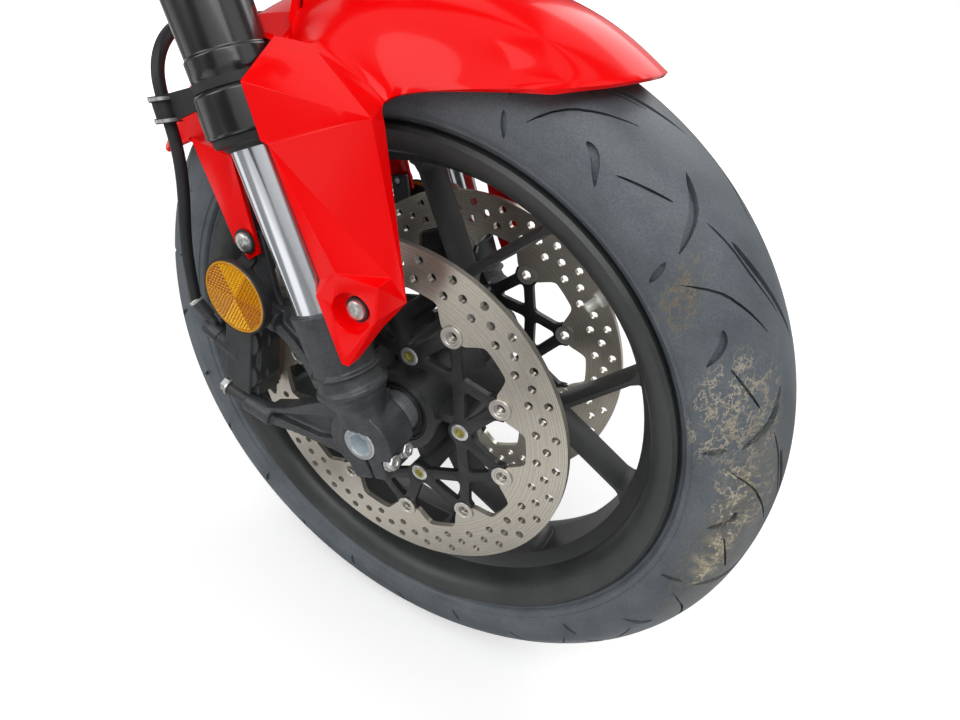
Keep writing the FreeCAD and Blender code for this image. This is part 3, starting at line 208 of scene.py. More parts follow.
world = bpy.data.worlds.new("room")
bpy.context.scene.world = world
world.use_nodes = True
room = world.node_tree
room_way = add(room, "TexCoord").outputs["Generated"]
room_axes = add(room, "SeparateXYZ", {0: room_way}).outputs
room_rays = add(room, "LightPath").outputs
room_level = maths(room, "MULTIPLY", ranged(room, room_axes["Z"], -0.1, 0.7, 0.3, 1.0),
                   banded(room, room_axes, 5.0, 0.6, -0.75, 0.15, 0.1, 1.0))
room_lit = maths(room, "MULTIPLY", room_level, ranged(room, room_rays["Is Glossy Ray"], 0.0, 1.0, 0.85, 0.9))
room_seen = maths(room, "MAXIMUM", room_rays["Is Camera Ray"], room_rays["Is Transmission Ray"])
room.nodes["Background"].inputs["Color"].default_value = (1.0, 1.0, 1.0, 1.0)
room.links.new(maths(room, "MAXIMUM", room_lit, room_seen), room.nodes["Background"].inputs["Strength"])
for name, place, size, power in (("key_lamp", (1.1, -1.3, 1.7), 2.4, 30.0),
                                 ("side_lamp", (-0.9, -1.6, 0.5), 1.4, 8.0),
                                 ("back_lamp", (0.6, 1.9, 1.3), 1.8, 14.0)):
    lamp_data = bpy.data.lights.new(name, "AREA")
    lamp_data.shape = "RECTANGLE"
    lamp_data.size, lamp_data.size_y = size, size * 0.7
    lamp_data.energy = power
    lamp = bpy.data.objects.new(name, lamp_data)
    bpy.context.scene.collection.objects.link(lamp)
    lamp.location = place
    lamp.rotation_mode = "QUATERNION"
    lamp.rotation_quaternion = (Vector(place) - LIT_PLACE).to_track_quat("Z", "Y")
bpy.context.scene.view_settings.view_transform = "Standard"

# Tyre: moulded rubber on the wheel, with crescent grooves and thin sipes in its tread, fine rings and vent
# stubs on its walls, a dusty brown band at the far side of its crown, and dried mud on its right shoulder.
CROWN_HALF, CROWN_DROP = 40.0, 8.5
CROWN_ARC = (CROWN_HALF ** 2 + CROWN_DROP ** 2) / (2 * CROWN_DROP)
GROOVE_R, GROOVE_STEPS, GROOVE_LIFT = 285.0, 9, 1.5
AXLE_WAY = (0, 1, 0)
WELD = 2e-6
tyre_side = [(40, 287.5), (47, 282.8), (53.5, 275), (58.3, 266.8), (60, 255), (59, 243), (54, 235)]


def at_angle(r, deg, y):
    """Row-frame place at a radius and an angle round the wheel; 0 points forward and 90 up."""
    a = math.radians(deg)
    return at(r * math.cos(a), y, r * math.sin(a))


def only(piece):
    """Makes a piece the active one and the only one selected."""
    bpy.ops.object.select_all(action="DESELECT")
    bpy.context.view_layer.objects.active = piece
    piece.select_set(True)


def edit(piece):
    """Opens a piece's mesh with all of it selected."""
    only(piece)
    bpy.ops.object.mode_set(mode="EDIT")
    bpy.ops.mesh.select_all(action="SELECT")


def closed():
    """Welds the open mesh, turns its faces outwards and leaves edit mode."""
    bpy.ops.mesh.remove_doubles(threshold=WELD)
    bpy.ops.mesh.normals_make_consistent(inside=False)
    bpy.ops.object.mode_set(mode="OBJECT")


def outwards(piece):
    """Turns a piece's faces outwards, with its vertices as they are."""
    edit(piece)
    bpy.ops.mesh.normals_make_consistent(inside=False)
    bpy.ops.object.mode_set(mode="OBJECT")


def new_mesh(name, verts, edges, faces):
    mesh = bpy.data.meshes.new(name)
    mesh.from_pydata([tuple(v) for v in verts], edges, faces)
    piece = bpy.data.objects.new(name, mesh)
    bpy.context.scene.collection.objects.link(piece)
    return piece


def lathe(name, profile, centre=WHEEL, axis=AXLE_WAY, steps=96, is_ring=False):
    """Turns a profile of (along the axis, radius) in millimetres round an axis; a ring's is closed."""
    axis = Vector(axis).normalized()
    side = axis.orthogonal().normalized()
    verts = [centre + axis * (a * 0.001) + side * (r * 0.001) for a, r in profile]
    edges = [(i, i + 1) for i in range(len(verts) - 1)]
    if is_ring:
        edges.append((len(verts) - 1, 0))
    piece = new_mesh(name, verts, edges, [])
    edit(piece)
    bpy.ops.mesh.spin(steps=steps, angle=2 * math.pi, center=centre, axis=axis)
    bpy.ops.mesh.select_all(action="SELECT")
    closed()
    return piece


def apply(piece, kind, **settings):
    """Adds a modifier with its settings and applies it."""
    only(piece)
    modifier = piece.modifiers.new(kind.lower(), kind)
    for key, value in settings.items():
        setattr(modifier, key, value)
    bpy.ops.object.modifier_apply(modifier=modifier.name)


def cut(piece, cutter, operation="DIFFERENCE"):
    """Carves a piece with another one, or keeps what they share, and deletes the second."""
    apply(piece, "BOOLEAN", object=cutter, operation=operation, solver="MANIFOLD")
    bpy.data.objects.remove(cutter)


def smooth(piece, degrees=34.0):
    only(piece)
    bpy.ops.object.shade_smooth_by_angle(angle=math.radians(degrees))


def join(name, pieces):
    """Makes one object of several."""
    only(pieces[0])
    for piece in pieces:
        piece.select_set(True)
    if len(pieces) > 1:
        bpy.ops.object.join()
    pieces[0].name = name
    return pieces[0]


def finish(piece, body, slot, paint, *replaced):
    """Says what a piece is made of, rides on and stands for; the slot is not used."""
    piece.data.materials.clear()
    piece.data.materials.append(paint)
    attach(piece, body)
    if replaced:
        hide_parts(*replaced)


def tread_place(s):
    """(across, radius) and outward way at a distance s along the tread's profile from its middle."""
    side = math.copysign(1.0, s)
    s = abs(s)
    reach = CROWN_ARC * math.asin(CROWN_HALF / CROWN_ARC)
    if s <= reach:
        a = s / CROWN_ARC
        y, r = CROWN_ARC * math.sin(a), TYRE_R - CROWN_ARC * (1 - math.cos(a))
        return side * y, r, side * math.sin(a), math.cos(a)
    left = s - reach
    for (y0, r0), (y1, r1) in zip(tyre_side, tyre_side[1:]):
        run = math.hypot(y1 - y0, r1 - r0)
        if left <= run or y1 == tyre_side[-1][0]:
            y, r = y0 + (y1 - y0) * left / run, r0 + (r1 - r0) * left / run
            return side * y, r, side * (r0 - r1) / run, (y1 - y0) / run
        left -= run


def groove(points, width, depth, half):
    """A closed cutter along (degrees, s) points, pointed at both ends, sunk into the tread."""
    stations = []
    last = GROOVE_STEPS - 1
    for k in range(GROOVE_STEPS):
        t = k / last * (len(points) - 1)
        i = min(int(t), len(points) - 2)
        f = t - i
        near = [points[min(max(j, 0), len(points) - 1)] for j in (i - 1, i, i + 1, i + 2)]
        stations.append([0.5 * (2 * b + (c - a) * f + (2 * a - 5 * b + 4 * c - d) * f * f
                                + (3 * b - a - 3 * c + d) * f ** 3) for a, b, c, d in zip(*near)])
    verts = []
    for k, (deg, s) in enumerate(stations):
        before, after = stations[max(k - 1, 0)], stations[min(k + 1, last)]
        along, over = math.radians(after[0] - before[0]) * GROOVE_R, after[1] - before[1]
        run = math.hypot(along, over)
        w = max(0.25, width / 2 * math.sin(math.pi * k / last) ** half)
        for side in (1.0, -1.0):
            d = deg + math.degrees(side * w * over / run / GROOVE_R)
            y, r, ny, nr = tread_place(s - side * w * along / run)
            for lift in (GROOVE_LIFT, -depth):
                verts.append(at_angle(r + nr * lift, d, y + ny * lift))
    faces = [(0, 1, 3, 2), (4 * last, 4 * last + 2, 4 * last + 3, 4 * last + 1)]
    for a in range(0, 4 * last, 4):
        b = a + 4
        faces += [(a, a + 2, b + 2, b), (a + 1, b + 1, b + 3, a + 3), (a, b, b + 1, a + 1),
                  (a + 2, a + 3, b + 3, b + 2)]
    return verts, faces


crown = [(y, r) for y, r, ny, nr in (tread_place(s) for s in range(-40, 41, 4))]
wall = [(42.4, 286.1), (47, 282.8), (50.5, 279), (53.5, 275), (56.2, 271.2), (58.3, 266.8), (59.5, 261.5)]
ribs = [(60, 255), (60.2, 253.6), (59.9, 252), (59.6, 246), (59, 243), (57.6, 239.6),
        (56.9, 239.3), (56.2, 238), (55.6, 235.8), (54.2, 234.4), (52, 233.6), (50.6, 231.6),
        (48.2, 230.4), (44.3, 226.4), (44.3, 218.2)]
inner_wall = [(33.2, 218.2), (35.2, 232), (51, 246), (51, 258), (37, 278.4), (18, 284.4)]
half_profile = wall + ribs + inner_wall
tyre = lathe("tyre_rubber", crown + half_profile + [(-y, r) for y, r in reversed(half_profile)], steps=216,
             is_ring=True)
grooves = [([(0, 32.3), (-3.8, 45.3), (-7, 66.5)], 6.5, 4.0, 0.7),
           ([(10.6, 63.8), (8.6, 67.2), (6.2, 79.4)], 5.5, 3.2, 0.7),
           ([(-7, 75.3), (-7.7, 82), (-8.4, 90)], 4.6, 2.2, 0.6),
           ([(-10.5, 74.4), (-13.5, 58), (-16.9, 47), (-21.3, 35)], 1.8, 3.0, 0.4),
           ([(5.2, 66.5), (1.4, 59), (-1.6, 52.8)], 1.8, 3.0, 0.4),
           ([(-5.9, 43), (-10, 36.5), (-14.6, 30.5), (-20.2, 17.5)], 2.0, 3.0, 0.4),
           ([(-9.5, 33.8), (-14.2, 25.7), (-25.4, 0.8)], 4.4, 4.0, 0.45)]
pitches = [56.5 + 28.7 * k for k in (1, 0, -1, -2)] + [-0.9 - 30.65 * (k + 1) for k in range(8)]
cut_verts, cut_faces = [], []
for pitch in pitches:
    for mirror, shift in ((-1.0, 0.0), (1.0, 15.3)):
        for points, width, depth, half in grooves:
            verts, faces = groove([(pitch + shift + d, mirror * s) for d, s in points], width, depth, half)
            cut_faces += [tuple(v + len(cut_verts) for v in face) for face in faces]
            cut_verts += verts
cutters = new_mesh("tread_cutters", cut_verts, [], cut_faces)
outwards(cutters)
cut(tyre, cutters)
stubs = [tyre]
for pitch in pitches:
    for shift, s in ((4.0, -103.0), (17.0, -96.0), (12.0, 99.0), (26.0, 105.0)):
        y, r, ny, nr = tread_place(s)
        way = (at_angle(nr, pitch + shift, ny) - WHEEL).to_track_quat("Z", "Y").to_euler()
        bpy.ops.mesh.primitive_cone_add(vertices=6, radius1=0.0006, radius2=0.0004, depth=0.0026,
                                        location=at_angle(r, pitch + shift, y), rotation=way)
        stubs.append(bpy.context.object)
tyre = join("tyre_rubber", stubs)
smooth(tyre, 28.0)
tyre_rubber = grained("tyre_rubber", (0.08, 0.094, 0.107), (0.158, 0.18, 0.2), (0.4, 0.6), patch=30.0,
                      bump=0.3, depth=0.0002)
rubber_tree = tyre_rubber.node_tree
rubber_place = add(rubber_tree, "TexCoord").outputs["Object"]
rubber_axes = add(rubber_tree, "SeparateXYZ", {0: rubber_place}).outputs


def worn(color, mask, low, high, laid, noise_scale, noise_low, noise_high, stretch, thin=False):
    """A colour with another over it where a mask and streaky noise are high, or on the noise's mid lines."""
    place = add(rubber_tree, "Mapping", {"Vector": rubber_place, "Scale": stretch}).outputs[0]
    level = noise(rubber_tree, place, noise_scale, 6.0, 0.65)
    if thin:
        level = maths(rubber_tree, "ABSOLUTE", maths(rubber_tree, "ADD", level, -0.5))
    area = ranged(rubber_tree, mask, low, high, interpolation_type="SMOOTHSTEP")
    share = maths(rubber_tree, "MULTIPLY", ranged(rubber_tree, level, noise_low, noise_high), area)
    return mixed(rubber_tree, share, color, (*laid, 1.0))


rubber_color = rubber_tree.nodes["Principled BSDF"].inputs["Base Color"].links[0].from_socket
rubber_color = worn(rubber_color, rubber_axes["Y"], 0.004, 0.03, (0.085, 0.066, 0.052), 70.0, 0.36, 0.68,
                    (1.0, 3.0, 1.0))
for deg, s, size, mud, fine, low, high in (
        (27.1, 76.0, (0.02, 0.028, 0.042), (0.34, 0.3, 0.23), 190.0, 0.56, 0.7),
        (25.0, 56.0, (0.02, 0.022, 0.05), (0.27, 0.24, 0.18), 260.0, 0.54, 0.68),
        (13.7, 59.5, (0.022, 0.024, 0.04), (0.4, 0.36, 0.27), 150.0, 0.5, 0.64),
        (-0.2, 67.8, (0.016, 0.013, 0.036), (0.42, 0.38, 0.27), 60.0, 0.44, 0.56),
        (3.0, 60.0, (0.03, 0.05, 0.12), (0.15, 0.13, 0.1), 330.0, 0.48, 0.62),
        (44.0, 80.0, (0.012, 0.03, 0.03), (0.17, 0.14, 0.1), 240.0, 0.5, 0.6)):
    y, r, ny, nr = tread_place(-s)
    nearness = add(rubber_tree, "Mapping",
                   {"Vector": rubber_place, "Scale": tuple(1 / c for c in size),
                    "Location": tuple(-m / c for m, c in zip(at_angle(r, deg, y), size))}).outputs[0]
    reach = add(rubber_tree, "VectorMath", {0: nearness}, operation="LENGTH").outputs["Value"]
    rubber_color = worn(rubber_color, reach, 1.0, 0.3, mud, fine, low, high, (0.9, 0.3, 1.5))
    rubber_color = worn(rubber_color, reach, 1.2, 0.7, tuple(1.25 * c for c in mud), 0.3 * fine, 0.02, 0.008,
                        (1.3, 0.6, 0.8), True)
feed(tyre_rubber, Base_Color=rubber_color)
finish(tyre, "wheel", "tyre", tyre_rubber, "tyre")

# Wheel: one gravity-cast aluminium piece with five forked spokes, painted satin black; its cast edges are
# soft and catch the light.


def twin(piece, change=None):
    """A copy of a piece with a mesh of its own, moved by a matrix where one is given."""
    other = piece.copy()
    other.data = piece.data.copy()
    bpy.context.scene.collection.objects.link(other)
    if change is not None:
        other.data.transform(change)
    return other


def copy_of(node, name):
    """A welded copy of a CAD node's surface."""
    piece = twin(nodes[node])
    piece.name = name
    edit(piece)
    bpy.ops.mesh.remove_doubles(threshold=WELD)
    bpy.ops.object.mode_set(mode="OBJECT")
    return piece


def bevel(piece, width, degrees, segments=2, **more):
    """Rounds the edges that are sharper than an angle, in millimetres."""
    apply(piece, "BEVEL", width=width * 0.001, segments=segments, limit_method="ANGLE",
          angle_limit=math.radians(degrees), **more)


def softened(node, width):
    """A copy of a CAD node with its sharp edges rounded, in millimetres."""
    piece = copy_of(node, node + "_rounded")
    edit(piece)
    bpy.ops.mesh.dissolve_limited(angle_limit=math.radians(0.6), use_dissolve_boundaries=False)
    bpy.ops.object.mode_set(mode="OBJECT")
    bevel(piece, width, 32.0, miter_outer="MITER_ARC")
    smooth(piece, 38.0)
    apply(piece, "WEIGHTED_NORMAL", keep_sharp=True)
    return piece


def dress(nodes, width, body, slot, paint):
    """Shows CAD nodes, each with its edges rounded, in a finish of their own."""
    for node in nodes.split():
        finish(softened(node, width), body, slot, paint, node)


wheel_black = grained("wheel_black", (0.033, 0.035, 0.036), (0.07, 0.073, 0.073), (0.36, 0.5), scale=1200.0,
                      patch=18.0, bump=0.06, Coat_Weight=0.1, Coat_Roughness=0.35)
dress("wheel_casting", 1.2, "wheel", "wheel_black", wheel_black)

# Tyre valve: plated brass, angled out of the rim's well to the right, so that it can be reached past the
# disc: a hexagonal foot, a stem and a screwed cap.
valve_foot = at_angle(201.0, 47.5, -20.0)
valve_way = at_angle(186.0, 47.5, -33.0) - valve_foot
valve_parts = [lathe(name, profile, valve_foot, valve_way, steps) for name, profile, steps in (
    ("valve_nut", [(0, 0), (0, 6.4), (9.2, 6.4), (9.9, 5.6), (9.9, 0)], 6),
    ("valve_stem", [(9, 0), (9, 3.1), (12.8, 3.1), (12.8, 0)], 24),
    ("valve_cap", [(12.2, 0), (12.2, 3.9), (18.6, 3.9), (19.6, 3), (19.8, 0)], 12))]
for part in valve_parts:
    bevel(part, 0.3, 25.0)
valve = join("tyre_valve_parts", valve_parts)
smooth(valve, 24.0)
valve_plate = grained("valve_plate", (0.82, 0.82, 0.75), (0.92, 0.92, 0.86), (0.34, 0.46), metallic=0.2,
                      patch=90.0, bump=0.08)
finish(valve, "wheel", "bright_steel", valve_plate, "tyre_valve")

# Wheel bearings and seals: ground steel ball bearings pressed into the hub, and rubber lips in steel cases
# outside them, with the rings that show round the spacers.


def mirror_image(piece):
    """A piece's mirror image across the wheel's middle plane."""
    other = twin(piece, Matrix.Scale(-1.0, 4, AXLE_WAY))
    edit(other)
    closed()
    return other


def mirrored(name, piece):
    """Joins a piece with its mirror image and shades it smooth between its edges."""
    both = join(name, [piece, mirror_image(piece)])
    smooth(both)
    return both


bearing_steel = grained("bearing_steel", (0.28, 0.28, 0.29), (0.4, 0.4, 0.41), (0.28, 0.4), metallic=1.0,
                        bump=0.05)
dress("wheel_bearings", 0.3, "wheel", "bearing_steel", bearing_steel)
lips = [(59, 20.4), (59, 29.9), (64.7, 29.9), (65.5, 29.2), (65.5, 27.7), (63.6, 27), (63.6, 25.4),
        (65.2, 24.7), (65.2, 22.9), (63.8, 22.2), (63.8, 20.4)]
rubber_black = grained("rubber_black", (0.012, 0.012, 0.013), (0.026, 0.026, 0.028), (0.42, 0.58),
                       scale=1000.0, patch=40.0, bump=0.2)
seals = mirrored("wheel_seals_ringed", lathe("hub_seal", lips, is_ring=True))
finish(seals, "wheel", "seal_rubber", rubber_black, "wheel_seals")

# Disc carriers: forged aluminium spiders in satin black, machined all round, so that every corner between
# their arms is filleted. Five bolts hold each one to the hub, and ten bobbins hold its disc.
DISC_BACK, DISC_FACE = 63.2, 68.2
BOLT_R, BOLT_PHASE = 62.6, 81.9
BOBBIN_R, BOBBIN_PHASE = 105.5, 65.4
LUG_R, KNEE_R = 106.0, 80.0
SPIDER_HOLE_R, SPIDER_R = 30.0, 105.1
LATTICE_BACK, LATTICE_FACE = 54.0, 78.0
DRILL_BACK, DRILL_FACE = 58.0, 74.0


def fused(piece, voxel, rounds):
    """Remeshes closed forms that overlap into one skin, and smooths it, which fillets every corner."""
    apply(piece, "REMESH", mode="VOXEL", voxel_size=voxel * 0.001)
    apply(piece, "SMOOTH", factor=0.5, iterations=rounds)


def arm_between(start, end, width):
    """A deep flat bar between two (radius, degrees) places on the disc's plane."""
    ends = [at_angle(r, deg, 0.0) for r, deg in (start, end)]
    way = (ends[1] - ends[0]).normalized()
    across = Vector((-way.z, 0.0, way.x)) * (width * 0.0005)
    corners = [ends[0] + across, ends[1] + across, ends[1] - across, ends[0] - across]
    verts = [c + Vector((0.0, y * 0.001, 0.0)) for y in (LATTICE_BACK, LATTICE_FACE) for c in corners]
    return new_mesh("carrier_arm", verts, [],
                    [(0, 1, 2, 3), (7, 6, 5, 4), (0, 4, 5, 1), (1, 5, 6, 2), (2, 6, 7, 3), (3, 7, 4, 0)])


def pillar(r, deg, radius, low, high, steps=40):
    """A round closed form along the axle's way, at a radius and an angle round the wheel."""
    bpy.ops.mesh.primitive_cylinder_add(vertices=steps, radius=radius * 0.001, depth=(high - low) * 0.001,
                                        location=at_angle(r, deg, (low + high) / 2),
                                        rotation=(math.pi / 2, 0, 0))
    return bpy.context.object


lattice = []
for k in range(5):
    boss, next_boss = (BOLT_R, BOLT_PHASE + 72 * k), (BOLT_R, BOLT_PHASE + 72 * (k + 1))
    lugs = [(LUG_R, BOBBIN_PHASE + 36 * (2 * k + step)) for step in range(3)]
    knee = (KNEE_R, BOBBIN_PHASE + 54 + 72 * k)
    for start, end, width in ((boss, lugs[0], 10.4), (boss, lugs[1], 10.4), (boss, knee, 9.8),
                              (knee, next_boss, 9.8), (lugs[1], knee, 9.0), (knee, lugs[2], 9.0)):
        lattice.append(arm_between(start, end, width))
    for r, deg, radius in ((BOLT_R, boss[1], 10.5), (BOBBIN_R, lugs[0][1], 11.5),
                           (BOBBIN_R, lugs[1][1], 11.5), (KNEE_R, knee[1], 5.5)):
        lattice.append(pillar(r, deg, radius, LATTICE_BACK, LATTICE_FACE))
for form in lattice:
    edit(form)
    closed()
carrier = join("disc_carrier", lattice)
fused(carrier, 1.4, 14)
slab = [(DISC_BACK, SPIDER_HOLE_R), (DISC_BACK, SPIDER_R), (DISC_FACE, SPIDER_R), (DISC_FACE, SPIDER_HOLE_R)]
cut(carrier, lathe("slab", slab, steps=180, is_ring=True), "INTERSECT")
for k in range(10):
    cut(carrier, pillar(BOBBIN_R, BOBBIN_PHASE + 36 * k, 5.8, DRILL_BACK, DRILL_FACE))
for k in range(5):
    cut(carrier, pillar(BOLT_R, BOLT_PHASE + 72 * k, 4.3, DRILL_BACK, DRILL_FACE))
    cut(carrier, pillar(BOLT_R, BOLT_PHASE + 72 * k, 8.2, 64.2, 75.0))
bevel(carrier, 0.5, 45.0)
feet = [lathe("boss_foot", [(61.4, 4.3), (61.4, 9.8), (61.8, 10.3), (63.6, 10.3), (63.6, 4.3)],
              at_angle(BOLT_R, BOLT_PHASE + 72 * k, 0.0), steps=40, is_ring=True) for k in range(5)]
carrier = join("disc_carriers", [carrier] + feet)
smooth(carrier, 40.0)
carrier_black = grained("carrier_black", (0.016, 0.0165, 0.017), (0.032, 0.033, 0.034), (0.3, 0.44),
                        scale=1300.0, patch=30.0, bump=0.12)
for piece, node in ((carrier, "disc_carrier_left"), (mirror_image(carrier), "disc_carrier_right")):
    piece.name = node + "_arms"
    finish(piece, "wheel", "carrier_black", carrier_black, node)

# Brake discs: ground stainless rings, 5 mm thick, with drilled holes in three staggered rows and ten ears
# inside for the bobbins. The pads have brushed them round.
DISC_R, DISC_INNER_R = 155.0, 121.4
HOLE_ROWS = ((130.5, 7.95, 32, 3.5), (138.4, 2.1, 32, 3.5), (146.4, 7.2, 32, 3.5),
             (BOBBIN_R, BOBBIN_PHASE, 10, 5.8))


def ear_reach(deg):
    """Inner radius of the disc, drawn in smoothly to the carrier's lugs at each ear."""
    off = abs((deg - BOBBIN_PHASE + 18) % 36 - 18)
    t = min(max((off - 4.9) / 7.6, 0.0), 1.0)
    return LUG_R + (DISC_INNER_R - LUG_R) * t * t * (3 - 2 * t)


disc_steel = grained("disc_steel", (0.65, 0.605, 0.52), (0.77, 0.72, 0.63), (0.28, 0.4), metallic=0.8,
                     scale=500.0, patch=40.0, bump=0.04)
steel_tree = disc_steel.node_tree
steel_place = add(steel_tree, "TexCoord").outputs["Object"]
steel_centred = add(steel_tree, "Mapping",
                    {"Vector": steel_place, "Location": (-WHEEL.x, 0.0, -WHEEL.z),
                     "Scale": (1.0, 0.0, 1.0)}).outputs[0]
steel_r = add(steel_tree, "VectorMath", {0: steel_centred}, operation="LENGTH").outputs["Value"]
steel_rings = add(steel_tree, "TexNoise", {"W": steel_r, "Scale": 1100.0, "Detail": 5.0},
                  noise_dimensions="1D").outputs["Fac"]
steel_color = steel_tree.nodes["Principled BSDF"].inputs["Base Color"].links[0].from_socket
steel_brushed = add(steel_tree, "VectorMath",
                    {0: steel_color, 1: ranged(steel_tree, steel_rings, 0.3, 0.7, 0.72, 1.12)},
                    operation="MULTIPLY")
steel_relief = add(steel_tree, "Bump",
                   {"Height": steel_rings, "Strength": 0.22, "Distance": 0.0001})
feed(disc_steel, Base_Color=steel_brushed.outputs[0], Normal=steel_relief.outputs["Normal"])
for side, node in ((-1, "brake_disc_right"), (1, "brake_disc_left")):
    edge = [at_angle(DISC_R, deg, side * DISC_BACK) for deg in range(360)]
    inner = [at_angle(ear_reach(deg), deg, side * DISC_BACK) for deg in range(360)]
    disc = new_mesh(node + "_drilled", edge + inner, [],
                    [(i, (i + 1) % 360, 360 + (i + 1) % 360, 360 + i) for i in range(360)])
    edit(disc)
    push = (0, side * (DISC_FACE - DISC_BACK) * 0.001, 0)
    bpy.ops.mesh.extrude_region_move(TRANSFORM_OT_translate={"value": push})
    bpy.ops.mesh.select_all(action="SELECT")
    closed()
    low, high = sorted((side * 58.7, side * 72.7))
    holes = [pillar(r, phase + 360 / count * k, hole_r, low, high, 20)
             for r, phase, count, hole_r in HOLE_ROWS for k in range(count)]
    cut(disc, join("disc_holes", holes))
    bevel(disc, 0.3, 50.0, 1)
    smooth(disc, 30.0)
    finish(disc, "wheel", "disc_steel", disc_steel, node)

# Disc bobbins: turned steel sleeves, each with a flange on both sides, through a disc's ear and its carrier.
# They leave the disc a little free to float between the pads.


def round_wheel(name, piece, count):
    """A piece and its copies turned about the axle, evenly spaced, as one object."""
    made = [piece]
    for k in range(1, count):
        turn = Matrix.Rotation(math.radians(-360 / count * k), 4, "Y")
        made.append(twin(piece, Matrix.Translation(WHEEL) @ turn @ Matrix.Translation(-WHEEL)))
    return join(name, made)


sleeve = [(61.5, 4.3), (61.5, 8.8), (61.9, 9.2), (62.9, 9.2), (62.9, 5.5), (68.5, 5.5), (68.5, 9.2),
          (69.5, 9.2), (69.9, 8.8), (69.9, 6.6), (69.4, 6.1), (69.4, 5), (66.2, 5), (66.2, 4.1), (62.4, 4.1)]
bobbin = lathe("bobbin", sleeve, at_angle(BOBBIN_R, BOBBIN_PHASE, 0.0), steps=36, is_ring=True)
bobbin_steel = grained("bobbin_steel", (0.62, 0.59, 0.53), (0.75, 0.72, 0.66), (0.3, 0.42), metallic=0.75,
                       patch=90.0, bump=0.06)
finish(mirrored("disc_bobbins_turned", round_wheel("bobbins", bobbin, 10)), "wheel", "bright_steel",
       bobbin_steel, "disc_bobbins")

# Carrier bolts: five zinc-plated steel button heads a side, with yellow-passivated hexagon sockets, that
# screw the carriers to the hub.
bolt_place = at_angle(BOLT_R, BOLT_PHASE, 0.0)
bright_steel = grained("bright_steel", (0.68, 0.68, 0.67), (0.8, 0.8, 0.78), (0.22, 0.34), metallic=0.8,
                       patch=80.0, bump=0.06)
zinc_yellow = grained("zinc_yellow", (0.42, 0.38, 0.12), (0.55, 0.5, 0.2), (0.3, 0.42), metallic=0.8,
                      patch=120.0)
button = [(60, 0), (60, 3.9), (64.2, 3.9), (64.2, 8.4), (66.9, 8.4), (67.8, 7.9), (68.2, 7.1),
          (68.2, 4.9), (66.1, 4.7), (66.1, 0)]
bolt_head = lathe("carrier_bolt", button, bolt_place, steps=40)
bolt_cup = lathe("bolt_cup", [(66, 0), (66, 4.7), (67.9, 4.7), (67.9, 0)], bolt_place, steps=40)
cut(bolt_cup, lathe("hexagon", [(66.4, 0), (66.4, 3.4), (69, 3.4), (69, 0)], bolt_place, steps=6))
for name, piece, paint, replaced in (("carrier_bolt_heads", bolt_head, bright_steel, ["carrier_bolts"]),
                                     ("carrier_bolt_sockets", bolt_cup, zinc_yellow, [])):
    finish(mirrored(name, round_wheel(name, piece, 5)), "wheel", "bright_steel", paint, *replaced)

# Axle and spacers: a hollow plated steel axle with a hexagon in each end, clamped by the fork bottoms, and
# two turned spacers between them and the wheel's seals.
axle_steel = grained("axle_steel", (0.66, 0.69, 0.72), (0.78, 0.81, 0.84), (0.24, 0.34), metallic=0.8,
                     bump=0.05)
dress("axle", 0.4, "fork", "axle_steel", axle_steel)
hexagons = lathe("axle_hexagon", [(103.4, 0), (103.4, 10.6), (116.6, 10.6), (116.6, 0)], steps=48)
cut(hexagons, lathe("hexagon", [(104.6, 0), (104.6, 10), (118, 10), (118, 0)], steps=6))
hexagons = join("axle_hexagons", [hexagons, mirror_image(hexagons)])
bevel(hexagons, 0.3, 40.0)
smooth(hexagons)
axle_zinc = grained("axle_zinc", (0.5, 0.57, 0.61), (0.64, 0.7, 0.74), (0.32, 0.45), metallic=0.5, bump=0.08)
finish(hexagons, "fork", "axle_steel", axle_zinc)
dress("axle_spacers", 0.4, "fork", "bright_steel", axle_steel)

# Fork bottoms: cast aluminium feet in dark grey fine-grained paint, each with the tube's socket, the split
# axle clamp, the caliper's two lugs and the mudguard's boss. Raised bands go round the socket.
RAKE = math.radians(25.5)
LEG_UP = Vector((-math.sin(RAKE), 0.0, math.cos(RAKE)))
LEG_FORE = Vector((math.cos(RAKE), 0.0, math.sin(RAKE)))
LEG_SPREAD, LEG_LEAD = 104.0, 3.4
BAND_INNER_R = 20.6


def at_leg(up, fore, y):
    """Row-frame place along a fork leg's line, in millimetres from the axle's height."""
    return WHEEL + (LEG_UP * up + LEG_FORE * (fore + LEG_LEAD)) * 0.001 + Vector((0.0, y * 0.001, 0.0))


def cast_form(node, voxel, rounds, extra=()):
    """A copy of a CAD node fused with other closed forms, every edge and inner corner rounded."""
    piece = join(node + "_form", [copy_of(node, node + "_form"), *extra])
    fused(piece, voxel, rounds)
    smooth(piece, 70.0)
    return piece


cast_paint = grained("cast_paint", (0.045, 0.048, 0.052), (0.115, 0.12, 0.127), (0.34, 0.48), metallic=0.35,
                     patch=30.0, bump=0.5, depth=0.0002)
for side, node in ((-1, "fork_bottom_right"), (1, "fork_bottom_left")):
    bands = []
    for low, high, r in ((44.8, 50.4, 28.6), (61.0, 64.2, 27.8)):
        band = [(low, BAND_INNER_R), (low, r - 1.2), (low + 1.2, r), (high - 1.2, r), (high, r - 1.2),
                (high, BAND_INNER_R)]
        bands.append(lathe("socket_band", band, at_leg(0, 0, side * LEG_SPREAD), LEG_UP, 72, True))
    finish(cast_form(node, 1.3, 4, bands), "fork", "cast_black", cast_paint, node)

